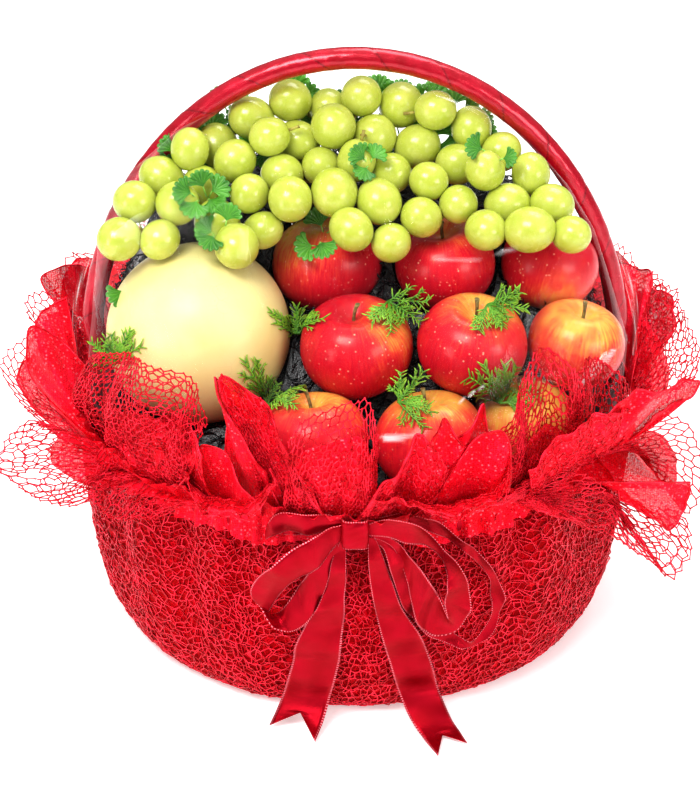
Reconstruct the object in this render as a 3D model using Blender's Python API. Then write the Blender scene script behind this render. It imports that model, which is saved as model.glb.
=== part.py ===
"""Fruit gift basket: a round bowl wrapped in red net, with a frilled net collar, a satin bow and a
hoop handle. A melon, apples and grapes lie on a sloping heap of shredded filling under clear film.

Metres, +Z up. The origin is the centre of the flat foot, and the display faces -Y.
"""

import math
import random

import bmesh
import bpy
import numpy as np
from mathutils import Euler, Matrix, Vector

GAP = 0.0018

# Bowl, and the net that wraps it
FOOT_R = 0.166
RIM_R = 0.204
RIM_Z = 0.181
WALL_CURVE = 0.32
WRAP_T = 0.0022
WRAP_TOP_Z = 0.1745
PLEATS = 12
PLEAT_DEPTH = 0.0016
BOWL_WALL = 0.003
FLOOR_T = 0.004

# Tie ribbon round the rim
TIE_LOW_Z = 0.158
TIE_HIGH_Z = 0.173
TIE_T = 0.0008

# Frilled net collar
COLLAR_ROOT_R = 0.2068
COLLAR_ROOT_Z = 0.1765
COLLAR_T = 0.0016
FLAP_ROOT_R = 0.2032
FLAP_ROOT_Z = 0.1775

# Hoop handle: an ellipse on two legs
HOOP_HALF = 0.196
HOOP_RISE = 0.239
HOOP_SPRING_Z = 0.190
HOOP_TUBE_R = 0.008
HANDLE_R = HOOP_TUBE_R * 1.03
LEG_FOOT_Z = 0.110
LEG_TOP_Z = 0.225

# Sloping display, from the front rim to the top of the hoop
SLOPE_Y = -0.200
SLOPE_Z = 0.176
SLOPE = math.atan2(0.244, 0.200)

# Fruit
MELON_AT = (-0.1115, 0.138, -0.057)
MELON_R = 0.066
APPLE_TALL = 0.86
GRAPE_R = 0.0151
GRAPE_PITCH = 0.0250
GRAPE_CORNER = 1.07
GARLAND_CENTRE = (-0.006, 0.130)
GARLAND_R = 0.171
LINK_R = 0.0038

# Leaves and sprigs on the fruit
LEAF_GAP = 0.0018
LEAF_T = 0.0009
SPRIG_T = 0.0012

# Clear film from the hoop down to the rim
FILM_GAP = 0.0016
FILM_T = 0.0004
FILM_LOW_Z = 0.1835
FILM_RIM_R = 0.199

# Satin bow
BOW_Z = 0.165
SATIN_W = 0.025
SATIN_T = 0.0009
KNOT_SIZE = (0.021, 0.0105, 0.021)
TAIL_WIDTHS = [0.014, 0.022, 0.025, 0.028, 0.033, 0.034]
TAIL_END_Z = 0.0022

RED_NET = (0.62, 0.008, 0.03)
RED_SATIN = (0.60, 0.006, 0.025)

# Each apple: name, place across and up the slope, height off it, radius, and lean in degrees
APPLES = [
    ("apple_top_left", -0.020, 0.192, -0.073, 0.0405, (-10, 8, 20)),
    ("apple_top_middle", 0.065, 0.189, -0.061, 0.0370, (-6, -4, 75)),
    ("apple_top_right", 0.140, 0.190, -0.068, 0.0360, (8, -8, 130)),
    ("apple_middle_left", 0.001, 0.124, -0.038, 0.0405, (-8, 8, 200)),
    ("apple_middle", 0.082, 0.123, -0.027, 0.0395, (-8, 5, 250)),
    ("apple_middle_right", 0.156, 0.127, -0.042, 0.0355, (-10, 6, 300)),
    ("apple_low_left", -0.029, 0.0545, -0.025, 0.0395, (-8, -6, 340)),
    ("apple_low_middle", 0.052, 0.0545, -0.025, 0.0400, (-10, 4, 60)),
    ("apple_low_right", 0.120, 0.073, -0.060, 0.0375, (-8, 6, 110)),
]

# The collar's free edge, round from the back by the left: azimuth in degrees from the front, then
# how far out, up and aside of its root it lies
FRILLS = [
    (-180, 0.042, 0.060, 0), (-168, 0.060, 0.034, 0), (-155, 0.040, 0.060, 0), (-142, 0.062, 0.030, 0),
    (-130, 0.044, 0.046, 0), (-121, 0.056, 0.030, 0), (-114, 0.062, 0.024, 0), (-109, 0.040, 0.034, 0),
    (-104, 0.056, 0.030, 0), (-97, 0.034, 0.024, 0), (-88, 0.056, 0.004, 0), (-79, 0.034, 0.010, 0),
    (-69, 0.066, -0.022, 0), (-61, 0.044, -0.036, 0), (-55, 0.024, -0.020, 0), (-47, 0.020, -0.032, 0),
    (-39, 0.026, -0.012, 0), (-31, 0.024, -0.014, 0), (-25, 0.012, 0.010, 0), (-20, 0.006, 0.098, -0.028),
    (-14, 0.014, 0.024, 0), (-8, 0.008, 0.062, 0), (0, 0.006, 0.080, 0.002), (5, 0.010, 0.030, 0),
    (12, 0.006, 0.062, 0), (15, 0.011, 0.048, 0), (18, 0.006, 0.074, 0), (21, 0.012, 0.062, 0),
    (24, 0.015, 0.084, -0.004), (27, 0.024, 0.050, 0), (30, 0.018, 0.010, 0), (34, 0.006, 0.108, 0.006),
    (38, 0.014, 0.086, 0.008), (42, 0.026, 0.092, 0.010), (46, 0.032, 0.050, 0.004),
    (50, 0.024, -0.026, -0.006),
    (54, 0.034, -0.004, 0), (60, 0.052, -0.092, 0), (66, 0.050, -0.044, 0), (72, 0.056, -0.032, 0),
    (78, 0.038, -0.002, 0), (84, 0.046, 0.004, 0), (89, 0.034, 0.016, 0), (95, 0.050, 0.015, 0),
    (101, 0.034, 0.030, 0), (107, 0.042, 0.034, 0), (113, 0.045, 0.036, 0), (122, 0.034, 0.040, 0),
    (132, 0.058, 0.030, 0), (143, 0.040, 0.060, 0), (156, 0.062, 0.030, 0), (168, 0.042, 0.052, 0),
]

FLAP = [
    (-74, 0.001, 0.022, 0.002), (-68, 0.001, 0.056, 0.008), (-60, 0.001, 0.074, 0.020),
    (-52, 0.001, 0.072, 0.028), (-45, 0.001, 0.062, 0.031), (-39, 0.001, 0.042, 0.026),
    (-33, 0.001, 0.016, 0.010),
]

# Each leaf: place across and up the slope, size and turn in degrees
PARSLEY = [
    (-0.047, 0.288, 0.017, 20),
    (-0.020, 0.297, 0.014, 70),
    (-0.084, 0.277, 0.017, 140),
    (-0.106, 0.262, 0.016, 200),
    (-0.119, 0.230, 0.017, 260),
    (-0.102, 0.200, 0.017, 310),
    (-0.157, 0.172, 0.014, 25),
    (-0.026, 0.208, 0.016, 80),
    (0.013, 0.252, 0.013, 150),
    (0.014, 0.294, 0.015, 190),
    (0.052, 0.286, 0.019, 240),
    (0.092, 0.262, 0.016, 290),
    (0.113, 0.232, 0.012, 330),
]

# Each sprig: place across and up the slope, length and turn in degrees
SPRIGS = [
    (-0.158, 0.124, 0.030, 95),
    (-0.052, 0.083, 0.040, 40),
    (-0.042, 0.136, 0.030, 85),
    (0.031, 0.150, 0.044, -55),
    (0.106, 0.152, 0.042, -40),
    (0.026, 0.084, 0.042, 30),
    (0.100, 0.080, 0.040, 60),
]

# The garland's lower edge: how far up the slope it reaches down to, by place across
GARLAND_LOW = [
    (-0.175, 0.190), (-0.150, 0.184), (-0.125, 0.200), (-0.095, 0.196), (-0.070, 0.178), (-0.045, 0.200),
    (-0.015, 0.212), (0.015, 0.184), (0.040, 0.214), (0.060, 0.222), (0.085, 0.202), (0.110, 0.192),
    (0.140, 0.188), (0.165, 0.205),
]
GARLAND_ENDS = (24.0, 158.0)
BUNCHES = (("grapes_right", 68.0), ("grapes_middle", 117.0), ("grapes_left", 180.0))


def clear_scene():
    for obj in list(bpy.data.objects):
        bpy.data.objects.remove(obj)


def finish_of(name, colour, roughness, alpha=1.0):
    """A plain Principled material of one colour."""
    material = bpy.data.materials.new(name)
    material.use_nodes = True
    shader = material.node_tree.nodes["Principled BSDF"]
    shader.inputs["Base Color"].default_value = (*colour, 1.0)
    shader.inputs["Roughness"].default_value = roughness
    shader.inputs["Alpha"].default_value = alpha
    return material


def new_object(name, points, faces, material, smooth=True):
    """An object from points and faces, with its normals facing out."""
    mesh = bpy.data.meshes.new(name)
    mesh.from_pydata([tuple(p) for p in points], [], faces)
    shape = bmesh.new()
    shape.from_mesh(mesh)
    bmesh.ops.recalc_face_normals(shape, faces=shape.faces)
    shape.to_mesh(mesh)
    shape.free()
    if smooth:
        mesh.shade_smooth()
        mesh.set_sharp_from_angle(angle=math.radians(50))
    obj = bpy.data.objects.new(name, mesh)
    bpy.context.scene.collection.objects.link(obj)
    obj.data.materials.append(material)
    return obj


def lathe(name, profile, segments, material, ripple=None):
    """A turned solid. The profile's first and last points lie on the axis."""
    points = [(0.0, 0.0, profile[0][1])]
    for row, (radius, z) in enumerate(profile[1:-1]):
        for k in range(segments):
            angle = 2 * math.pi * k / segments
            r = radius + (ripple(row, angle, z) if ripple else 0.0)
            points.append((r * math.cos(angle), r * math.sin(angle), z))
    points.append((0.0, 0.0, profile[-1][1]))
    rows = len(profile) - 2
    last = len(points) - 1
    faces = []
    for k in range(segments):
        after = (k + 1) % segments
        faces.append((0, 1 + after, 1 + k))
        faces.append((last, last - segments + k, last - segments + after))
        for row in range(rows - 1):
            low, high = 1 + row * segments, 1 + (row + 1) * segments
            faces.append((low + k, low + after, high + after, high + k))
    return new_object(name, points, faces, material)


def wall_radius(z):
    """Outer radius of the wrapped bowl at a height."""
    t = min(max(z / RIM_Z, 0.0), 1.0)
    return FOOT_R + (RIM_R - FOOT_R) * (1 - (1 - t) ** 2) ** WALL_CURVE


def slope_point(across, up, off):
    """A point of the display slope: across it, up it, and off it towards the viewer."""
    return Vector((
        across,
        SLOPE_Y + up * math.cos(SLOPE) - off * math.sin(SLOPE),
        SLOPE_Z + up * math.sin(SLOPE) + off * math.cos(SLOPE),
    ))


def slope_coordinates(point):
    """slope_point turned round: across, up and off."""
    y, z = point[1] - SLOPE_Y, point[2] - SLOPE_Z
    up = y * math.cos(SLOPE) + z * math.sin(SLOPE)
    off = -y * math.sin(SLOPE) + z * math.cos(SLOPE)
    return point[0], up, off


# ---------------------------------------------------------------- bowl, wrap, tie and collar


def make_bowl(material):
    gap = WRAP_T + GAP
    heights = (0.014, 0.056, 0.110, RIM_Z)
    outer = [(wall_radius(z) - gap, z) for z in heights]
    inner = [(wall_radius(z) - gap - BOWL_WALL, z) for z in reversed(heights[1:])]
    profile = [(0, gap), (FOOT_R - 0.012, gap), *outer, *inner]
    profile += [(FOOT_R - 0.014, gap + FLOOR_T), (0, gap + FLOOR_T)]
    return lathe("bowl", profile, 30, material)


def make_wrap(material):
    """The net drawn up round the bowl, in pleats that deepen towards the tie."""
    heights = (0.003, 0.010, 0.026, 0.056, 0.100, 0.140, WRAP_TOP_Z)
    outer = [(wall_radius(z), z) for z in heights]
    inner = [(r - WRAP_T, z) for r, z in reversed(outer) if z != 0.140]
    rows_out = len(outer)

    def pleat(row, angle, z):
        if not 1 <= row <= rows_out - 1:
            return 0.0
        drawn = math.sin(math.pi * min(z / WRAP_TOP_Z, 1.0)) ** 0.7
        return PLEAT_DEPTH * drawn * math.sin(PLEATS * angle + 1.4 * math.sin(3 * angle))

    profile = [(0, 0), (FOOT_R - 0.008, 0), *outer, *inner]
    profile += [(FOOT_R - 0.010, WRAP_T), (0, WRAP_T)]
    return lathe("net_wrap", profile, 48, material, pleat)


def make_tie(material):
    """The satin band that ties the net round the rim."""
    inner = wall_radius(TIE_HIGH_Z) + PLEAT_DEPTH * 0.4 + 0.0008
    outer = inner + TIE_T
    segments = 48
    points, faces = [], []
    for k in range(segments):
        angle = 2 * math.pi * k / segments
        for radius, z in ((inner, TIE_LOW_Z), (outer, TIE_LOW_Z), (outer, TIE_HIGH_Z), (inner, TIE_HIGH_Z)):
            points.append((radius * math.cos(angle), radius * math.sin(angle), z))
        here, after = 4 * k, 4 * ((k + 1) % segments)
        for side in range(4):
            beside = (side + 1) % 4
            faces.append((here + side, after + side, after + beside, here + beside))
    return new_object("tie_ribbon", points, faces, material)


def frill(azimuth, stops):
    """A frilled edge at an azimuth in degrees: how far out, up and aside of its root it lies."""
    for before, after in zip(stops, stops[1:]):
        if before[0] <= azimuth <= after[0]:
            t = (azimuth - before[0]) / (after[0] - before[0])
            t = t * t * (3 - 2 * t)
            return [before[i] + (after[i] - before[i]) * t for i in (1, 2, 3)]
    return stops[0][1:]


def frill_point(azimuth, along, stops, root_r, root_z):
    """A point of a frill, from its root at along = 0 to its free edge at 1. It rises, then falls open."""
    out, up, aside = frill(azimuth, stops)
    rise = 0.030 + 0.25 * max(up, 0.0)
    early, late = 2 * along * (1 - along), along * along
    r = root_r + early * (0.002 + 0.25 * out) + late * out
    z = root_z + early * rise + late * up
    angle = math.radians(azimuth - 90)
    side = late * aside
    return Vector((
        r * math.cos(angle) - side * math.sin(angle),
        r * math.sin(angle) + side * math.cos(angle),
        z,
    ))


def frill_sheet(name, stops, closed, root_r, root_z, rows, material):
    """A frilled strip of net, sampled at each stop, and between stops more than 5 degrees apart."""
    around = []
    for here, after in zip(stops, stops[1:]):
        around.append(here[0])
        if after[0] - here[0] > 5:
            around.append((here[0] + after[0]) / 2)
    if not closed:
        around.append(stops[-1][0])
    count = len(around)
    points = [frill_point(azimuth, v, stops, root_r, root_z) for v in rows for azimuth in around]
    faces = []
    for row in range(len(rows) - 1):
        for k in range(count if closed else count - 1):
            after = (k + 1) % count
            low, high = row * count, (row + 1) * count
            faces.append((low + k, low + after, high + after, high + k))
    obj = new_object(name, points, faces, material)
    thick = obj.modifiers.new("thickness", "SOLIDIFY")
    thick.thickness = COLLAR_T
    thick.offset = 0.0
    return obj


def make_collar(material):
    """The frilled collar, and the flap of net that stands inside it by the melon."""
    stops = [*FRILLS, (180, *FRILLS[0][1:])]
    frill_sheet("net_collar", stops, True, COLLAR_ROOT_R, COLLAR_ROOT_Z, (0.0, 0.25, 0.6, 1.0), material)
    frill_sheet("net_flap", FLAP, False, FLAP_ROOT_R, FLAP_ROOT_Z, (0.0, 0.5, 1.0), material)


# ---------------------------------------------------------------- handle


def hoop_point(angle):
    """A point of the hoop's centreline, from its right spring at 0 to its left at pi."""
    return Vector((HOOP_HALF * math.cos(angle), 0.0, HOOP_SPRING_Z + HOOP_RISE * math.sin(angle)))


def leg_points(side):
    """A leg's centreline, from its foot inside the bowl's wall up to where it joins the hoop."""
    found = []
    for k in range(6):
        z = LEG_FOOT_Z + (LEG_TOP_Z - LEG_FOOT_Z) * k / 6
        inside = wall_radius(z) - WRAP_T - GAP - BOWL_WALL - HOOP_TUBE_R - 0.0022
        t = min(max((z - 0.172) / (LEG_TOP_Z - 0.172), 0.0), 1.0)
        joined = HOOP_HALF * math.sqrt(1 - ((LEG_TOP_Z - HOOP_SPRING_Z) / HOOP_RISE) ** 2)
        found.append(Vector((side * (inside + (joined - inside) * t * t * (3 - 2 * t)), 0.0, z)))
    return found


def handle_line(arcs=30):
    start = math.asin((LEG_TOP_Z - HOOP_SPRING_Z) / HOOP_RISE)
    hoop = [hoop_point(start + (math.pi - 2 * start) * k / arcs) for k in range(arcs + 1)]
    return leg_points(1) + hoop + leg_points(-1)[::-1]


def tube(name, line, radius, material, sides=8):
    """A round bar along a line in the plane y = 0, with flat ends."""
    points, faces = [], []
    for k, place in enumerate(line):
        ahead = (line[min(k + 1, len(line) - 1)] - line[max(k - 1, 0)]).normalized()
        across = Vector((0, 1, 0)).cross(ahead)
        for side in range(sides):
            angle = 2 * math.pi * (side + 0.5) / sides
            level = Vector((0, radius * math.sin(angle), 0))
            points.append(place + across * radius * math.cos(angle) + level)
    for k in range(len(line) - 1):
        for side in range(sides):
            beside = (side + 1) % sides
            low, high = k * sides, (k + 1) * sides
            faces.append((low + side, low + beside, high + beside, high + side))
    faces.append(tuple(range(sides))[::-1])
    faces.append(tuple(len(points) - sides + side for side in range(sides)))
    return new_object(name, points, faces, material)


# ---------------------------------------------------------------- fruit


def make_melon(material):
    rings, segments = 9, 18
    profile = []
    for k in range(rings + 1):
        lift = -math.pi / 2 + math.pi * k / rings
        profile.append((MELON_R * math.cos(lift), MELON_R * 0.985 * math.sin(lift)))
    profile[0], profile[-1] = (0, profile[0][1]), (0, profile[-1][1])
    melon = lathe("melon", profile, segments, material)
    melon.location = slope_point(*MELON_AT)
    melon.rotation_euler = Euler((math.radians(-38), math.radians(-10), 0.4))
    return melon


def apple_profile(radius):
    """An apple's outline from the eye below to the tip of the stem."""
    outline = []
    rings = 8
    for k in range(rings + 1):
        lift = -math.pi / 2 + math.pi * k / rings
        r = radius * abs(math.cos(lift)) ** 0.86 * (0.985 + 0.03 * math.sin(lift))
        z = radius * APPLE_TALL * math.sin(lift)
        if lift > 0:
            z -= radius * 0.30 * math.exp(-((r / (0.30 * radius)) ** 2))
        else:
            z += radius * 0.20 * math.exp(-((r / (0.28 * radius)) ** 2))
        outline.append((r, z))
    outline[0] = (0, outline[0][1])
    dimple, stem_r, stem_tip = outline.pop()[1], 0.0016, radius * (APPLE_TALL + 0.04)
    return outline + [(stem_r, dimple + 0.0006), (stem_r * 0.9, stem_tip), (0, stem_tip + 0.0006)]


def make_apple(row, material):
    name, across, up, off, radius, lean = row
    apple = lathe(name, apple_profile(radius), 12, material)
    apple.location = slope_point(across, up, off)
    apple.rotation_euler = Euler([math.radians(a) for a in lean])
    return apple


def low_edge(across):
    """How far up the slope the garland's lower edge lies at a place across."""
    return float(np.interp(across, [a for a, _ in GARLAND_LOW], [b for _, b in GARLAND_LOW]))


def bunch_of(degrees):
    return next(name for name, end in BUNCHES if degrees <= end)


def garland_seeds():
    """Grapes on arcs round the garland's centre, row by row inwards, each a little out of line."""
    draw = random.Random(7)
    seeds = []
    for row in range(6):
        ring = GARLAND_R - row * GRAPE_PITCH * 0.98
        step = math.degrees(GRAPE_PITCH * 1.06 / ring)
        degrees = GARLAND_ENDS[0] + (0.5 * step if row % 2 else 0.0)
        while degrees <= GARLAND_ENDS[1]:
            angle = math.radians(degrees)
            across = GARLAND_CENTRE[0] + ring * math.cos(angle) + draw.uniform(-1, 1) * 0.003
            up = GARLAND_CENTRE[1] + ring * math.sin(angle) + draw.uniform(-1, 1) * 0.003
            if up > low_edge(across):
                sunk = 0.022 * max(0.0, min((up - 0.20) / 0.09, 1.0))
                off = -0.006 - sunk + draw.uniform(-1, 1) * 0.005
                radius = GRAPE_R * draw.uniform(0.88, 1.1)
                seeds.append((slope_point(across, up, off), radius, bunch_of(degrees)))
            degrees += step
    return seeds


def settle_grapes(seeds, obstacles, rounds=90):
    """Pushes grapes apart, and off the other fruit and the hoop, a little at a time."""
    places = np.array([place for place, _, _ in seeds])
    home = places.copy()
    radii = np.array([radius for _, radius, _ in seeds])
    bunch = np.array([name for _, _, name in seeds])
    same = bunch[:, None] == bunch[None, :]
    apart = radii[:, None] + radii[None, :] + np.where(same, -0.0004, 0.0012)
    hoop = np.array([hoop_point(math.pi * k / 90) for k in range(91)])
    for turn in range(rounds):
        if turn < rounds * 0.6:
            places += (home - places) * 0.04
        between = places[:, None] - places[None, :]
        far = np.linalg.norm(between, axis=2) + np.eye(len(places))
        push = np.clip(apart - far, 0, None) * (1 - np.eye(len(places)))
        places += (between / far[..., None] * push[..., None]).sum(axis=1) * 0.5
        for centre, size in obstacles:
            away = places - np.array(centre)
            length = np.linalg.norm(away, axis=1)
            short = np.clip(size + radii + 0.0008 - length, 0, None)
            places += away / length[:, None] * short[:, None]
        away = places[:, None] - hoop[None, :]
        length = np.linalg.norm(away, axis=2)
        nearest = length.argmin(axis=1)
        index = np.arange(len(places))
        short = np.clip(radii + HOOP_TUBE_R + 0.004 - length[index, nearest], 0, None)
        places += away[index, nearest] / length[index, nearest][:, None] * short[:, None]
    return [(Vector(place), radius, name) for place, (_, radius, name) in zip(places, seeds)]


def stem_links(centres):
    """The shortest set of links that joins a bunch's grapes, as pairs of their numbers."""
    joined, links = {0}, []
    while len(joined) < len(centres):
        pairs = [(i, j) for i in joined for j in range(len(centres)) if j not in joined]
        best = min(pairs, key=lambda pair: (centres[pair[0]] - centres[pair[1]]).length)
        links.append(best)
        joined.add(best[1])
    return links


def make_grape(place, radius, turn):
    """One grape with few sides, so that its corners stand a little outside its round size."""
    corner = radius * GRAPE_CORNER
    bpy.ops.mesh.primitive_uv_sphere_add(segments=5, ring_count=5, radius=corner, location=place)
    grape = bpy.context.object
    grape.rotation_euler = turn
    return grape


def make_link(start, end):
    """The stalk between two neighbours."""
    along = end - start
    middle = (start + end) / 2
    bpy.ops.mesh.primitive_cylinder_add(vertices=4, radius=LINK_R, depth=along.length, location=middle)
    link = bpy.context.object
    link.rotation_euler = along.to_track_quat("Z", "Y").to_euler()
    return link


def united(name, pieces, material, solver="EXACT"):
    """One solid from several that overlap."""
    base, others = pieces[0], pieces[1:]
    group = bpy.data.collections.new(name + "_pieces")
    bpy.context.scene.collection.children.link(group)
    for obj in others:
        for holder in list(obj.users_collection):
            holder.objects.unlink(obj)
        group.objects.link(obj)
    join = base.modifiers.new("union", "BOOLEAN")
    join.operation = "UNION"
    join.operand_type = "COLLECTION"
    join.collection = group
    join.solver = solver
    bpy.context.view_layer.update()
    evaluated = base.evaluated_get(bpy.context.evaluated_depsgraph_get())
    mesh = bpy.data.meshes.new_from_object(evaluated)
    mesh.transform(base.matrix_world)
    mesh.materials.clear()
    mesh.materials.append(material)
    for obj in pieces:
        bpy.data.objects.remove(obj)
    bpy.data.collections.remove(group)
    made = bpy.data.objects.new(name, mesh)
    bpy.context.scene.collection.objects.link(made)
    return made


def make_bunches(grapes, material):
    draw = random.Random(3)
    made = []
    for name, _ in BUNCHES:
        own = [(place, radius) for place, radius, bunch in grapes if bunch == name]
        centres = [place for place, _ in own]
        pieces = []
        for place, radius in own:
            turn = Euler([draw.uniform(0, math.pi) for _ in range(3)])
            pieces.append(make_grape(place, radius, turn))
        pieces += [make_link(centres[i], centres[j]) for i, j in stem_links(centres)]
        made.append(united(name, pieces, material))
    return made


# ---------------------------------------------------------------- leaves and sprigs


def top_of(spheres, across, up, low):
    """How far off the slope the highest sphere reaches at a place, or low where none does."""
    found = low
    for a, b, c, radius in spheres:
        aside = (across - a) ** 2 + (up - b) ** 2
        if aside < radius * radius:
            found = max(found, c + math.sqrt(radius * radius - aside))
    return found


# Where in a triangle its height over the fruit is tested, as weights of its corners
PROBES = (
    (0.34, 0.33, 0.33), (0.6, 0.2, 0.2), (0.2, 0.6, 0.2), (0.2, 0.2, 0.6), (0.5, 0.5, 0),
    (0, 0.5, 0.5), (0.5, 0, 0.5), (1, 0, 0), (0, 1, 0), (0, 0, 1),
)


def draped_sheet(name, flat, triangles, spheres, gap, thickness, material):
    """A thin leaf over the fruit, from points across and up the slope, the same on both faces. It
    follows what lies under it, but no more steeply than its own stiffness lets it."""
    middle = [sum(p[i] for p in flat) / len(flat) for i in (0, 1)]
    low = top_of(spheres, *middle, -0.03) - 0.006
    rest = top_of(spheres, *middle, low)
    offs = []
    for across, up in flat:
        reach = 0.5 * math.hypot(across - middle[0], up - middle[1])
        offs.append(min(max(top_of(spheres, across, up, low), rest - reach), rest + reach))
    short = 0.0
    for corners in triangles:
        for weights in PROBES:
            across, up = [sum(w * flat[c][i] for w, c in zip(weights, corners)) for i in (0, 1)]
            over = sum(w * offs[c] for w, c in zip(weights, corners))
            short = max(short, top_of(spheres, across, up, over) - over)
    bottoms = [slope_point(*place, off + short + gap) for place, off in zip(flat, offs)]
    tops = [slope_point(*place, off + short + gap + thickness) for place, off in zip(flat, offs)]
    count = len(flat)
    faces = []
    for i, j, k in triangles:
        faces += [(i, j, k), (count + k, count + j, count + i)]
        for here, after in ((i, j), (j, k), (k, i)):
            if not any((after, here) in ((x, y), (y, z), (z, x)) for x, y, z in triangles):
                faces.append((here, count + here, count + after, after))
    return new_object(name, tops + bottoms, faces, material, smooth=False)


def trefoil(across, up, size, turn):
    """A leaf of three rounded leaflets: points round its centre, and the fan of triangles they make."""
    flat = [(across, up)]
    for k in range(15):
        angle = 2 * math.pi * k / 15
        reach = size * (0.42 + 0.58 * abs(math.cos(1.5 * angle)) ** 0.7)
        heading = angle + math.radians(turn)
        flat.append((across + reach * math.cos(heading), up + reach * math.sin(heading)))
    return flat, [(0, k, k % 15 + 1) for k in range(1, 16)]


def frond(across, up, length, turn):
    """A flat conifer sprig: a stem, with spikes leaning forward each side of it."""
    spikes = 4
    local, triangles = [], []
    for k in range(spikes + 1):
        along = length * (k / spikes * 0.80 - 0.46)
        reach = length * (0.19 + 0.11 * math.sin(math.pi * (k + 1) / (spikes + 1)))
        local += [(along, -0.05 * length), (along, 0.05 * length)]
        local += [(along + 0.24 * length, -reach), (along + 0.24 * length, reach)]
    for k in range(spikes):
        a, b = 4 * k, 4 * (k + 1)
        triangles += [(a, b, b + 1), (a, b + 1, a + 1), (a, a + 2, b), (a + 1, b + 1, a + 3)]
    tip = 4 * spikes
    local = local[:tip + 2] + [(0.56 * length, 0.0)]
    triangles.append((tip, tip + 2, tip + 1))
    heading = math.radians(turn)
    cos, sin = math.cos(heading), math.sin(heading)
    return [(across + x * cos - y * sin, up + x * sin + y * cos) for x, y in local], triangles


# ---------------------------------------------------------------- filling, film and bow


def heap_height(x, y):
    """Height of the filling: a ramp under the fruit, a crest below the hoop, and a slope behind."""
    ramp = SLOPE_Z - 0.062 / math.cos(SLOPE) + (y - SLOPE_Y) * math.tan(SLOPE)
    behind = 0.340 - 1.05 * max(y - 0.045, 0.0)
    reach = math.sqrt(max(1 - (x / 0.196) ** 2, 0.0))
    crown = 0.150 + 0.195 * reach ** 1.1
    lumps = 0.004 * math.sin(61 * x + 2) * math.cos(53 * y) + 0.003 * math.sin(117 * (x + y))
    return max(min(ramp, behind, crown), 0.150) + lumps


def make_filling(material):
    """Shredded filling from the bowl's floor up to a lumpy top, as a round heap."""
    rings, segments = 7, 20
    outer = 0.1905
    floor_z = WRAP_T + GAP + FLOOR_T + GAP
    points = [(0.0, 0.0, heap_height(0, 0))]
    for ring in range(1, rings + 1):
        radius = outer * ring / rings
        for k in range(segments):
            angle = 2 * math.pi * k / segments
            x, y = radius * math.cos(angle), radius * math.sin(angle)
            points.append((x, y, heap_height(x, y)))
    walls = [(wall_radius(0.09) - 0.012, 0.09), (FOOT_R - 0.022, floor_z)]
    for radius, z in walls:
        for k in range(segments):
            angle = 2 * math.pi * k / segments
            points.append((radius * math.cos(angle), radius * math.sin(angle), z))
    points.append((0.0, 0.0, floor_z))
    faces = []
    rows = rings + len(walls)
    for k in range(segments):
        after = (k + 1) % segments
        faces.append((0, 1 + k, 1 + after))
        low = 1 + (rows - 1) * segments
        faces.append((len(points) - 1, low + after, low + k))
        for row in range(rows - 1):
            inner, beyond = 1 + row * segments, 1 + (row + 1) * segments
            faces.append((inner + k, beyond + k, beyond + after, inner + after))
    return new_object("filling", points, faces, material)


def cutter_ball(centre, radius, tall=1.0):
    """A helper that hollows the heap where a fruit sits."""
    bpy.ops.mesh.primitive_uv_sphere_add(segments=10, ring_count=6, radius=radius, location=centre)
    ball = bpy.context.object
    ball.scale = (1, 1, tall)
    ball.name = "cutter"
    return ball


def cut_from(target, cutters):
    """Takes the cutters out of an object, and removes them."""
    group = bpy.data.collections.new("cutters")
    bpy.context.scene.collection.children.link(group)
    for obj in cutters:
        for holder in list(obj.users_collection):
            holder.objects.unlink(obj)
        group.objects.link(obj)
    cut = target.modifiers.new("cut", "BOOLEAN")
    cut.operation = "DIFFERENCE"
    cut.operand_type = "COLLECTION"
    cut.collection = group
    bpy.context.view_layer.update()
    evaluated = target.evaluated_get(bpy.context.evaluated_depsgraph_get())
    mesh = bpy.data.meshes.new_from_object(evaluated)
    target.modifiers.clear()
    target.data = mesh
    for obj in cutters:
        bpy.data.objects.remove(obj)
    bpy.data.collections.remove(group)


def film_sheet(name, side, covered, material):
    """Clear film drawn tight over the fruit from the hoop to the rim, on one side of the handle."""
    edge_y = side * (HOOP_TUBE_R + 0.0022)
    inset = 1 - 0.004 / HOOP_HALF
    ridge = [hoop_point(math.pi * k / 24) * inset for k in range(25)]
    ridge = [Vector((p.x, edge_y, p.z + HOOP_SPRING_Z * (1 - inset))) for p in ridge]
    rim = []
    for k in range(21):
        angle = side * math.pi * k / 20
        y = side * max(FILM_RIM_R * side * math.sin(angle), side * edge_y)
        rim.append(Vector((FILM_RIM_R * math.cos(angle), y, FILM_LOW_Z)))
    margin = 0.001
    under = [p for p in covered if side * (p.y - edge_y) > margin and p.z > FILM_LOW_Z + margin]
    shape = bmesh.new()
    for p in ridge + rim + under:
        shape.verts.new(p)
    bmesh.ops.remove_doubles(shape, verts=shape.verts, dist=0.0015)
    hull = bmesh.ops.convex_hull(shape, input=shape.verts)
    loose = {v for v in hull["geom_interior"] if isinstance(v, bmesh.types.BMVert)}
    loose |= {v for v in hull["geom_unused"] if isinstance(v, bmesh.types.BMVert)}
    bmesh.ops.delete(shape, geom=list(loose), context="VERTS")
    bmesh.ops.recalc_face_normals(shape, faces=shape.faces)
    shape.normal_update()
    square = math.cos(math.pi / 20)
    open_faces = [f for f in shape.faces if -side * f.normal.y > square or f.normal.z < -square]
    bmesh.ops.delete(shape, geom=open_faces, context="FACES")
    mesh = bpy.data.meshes.new(name)
    shape.to_mesh(mesh)
    shape.free()
    obj = bpy.data.objects.new(name, mesh)
    bpy.context.scene.collection.objects.link(obj)
    mesh.materials.append(material)
    thick = obj.modifiers.new("thickness", "SOLIDIFY")
    thick.thickness = FILM_T
    thick.offset = 1.0
    return obj


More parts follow.
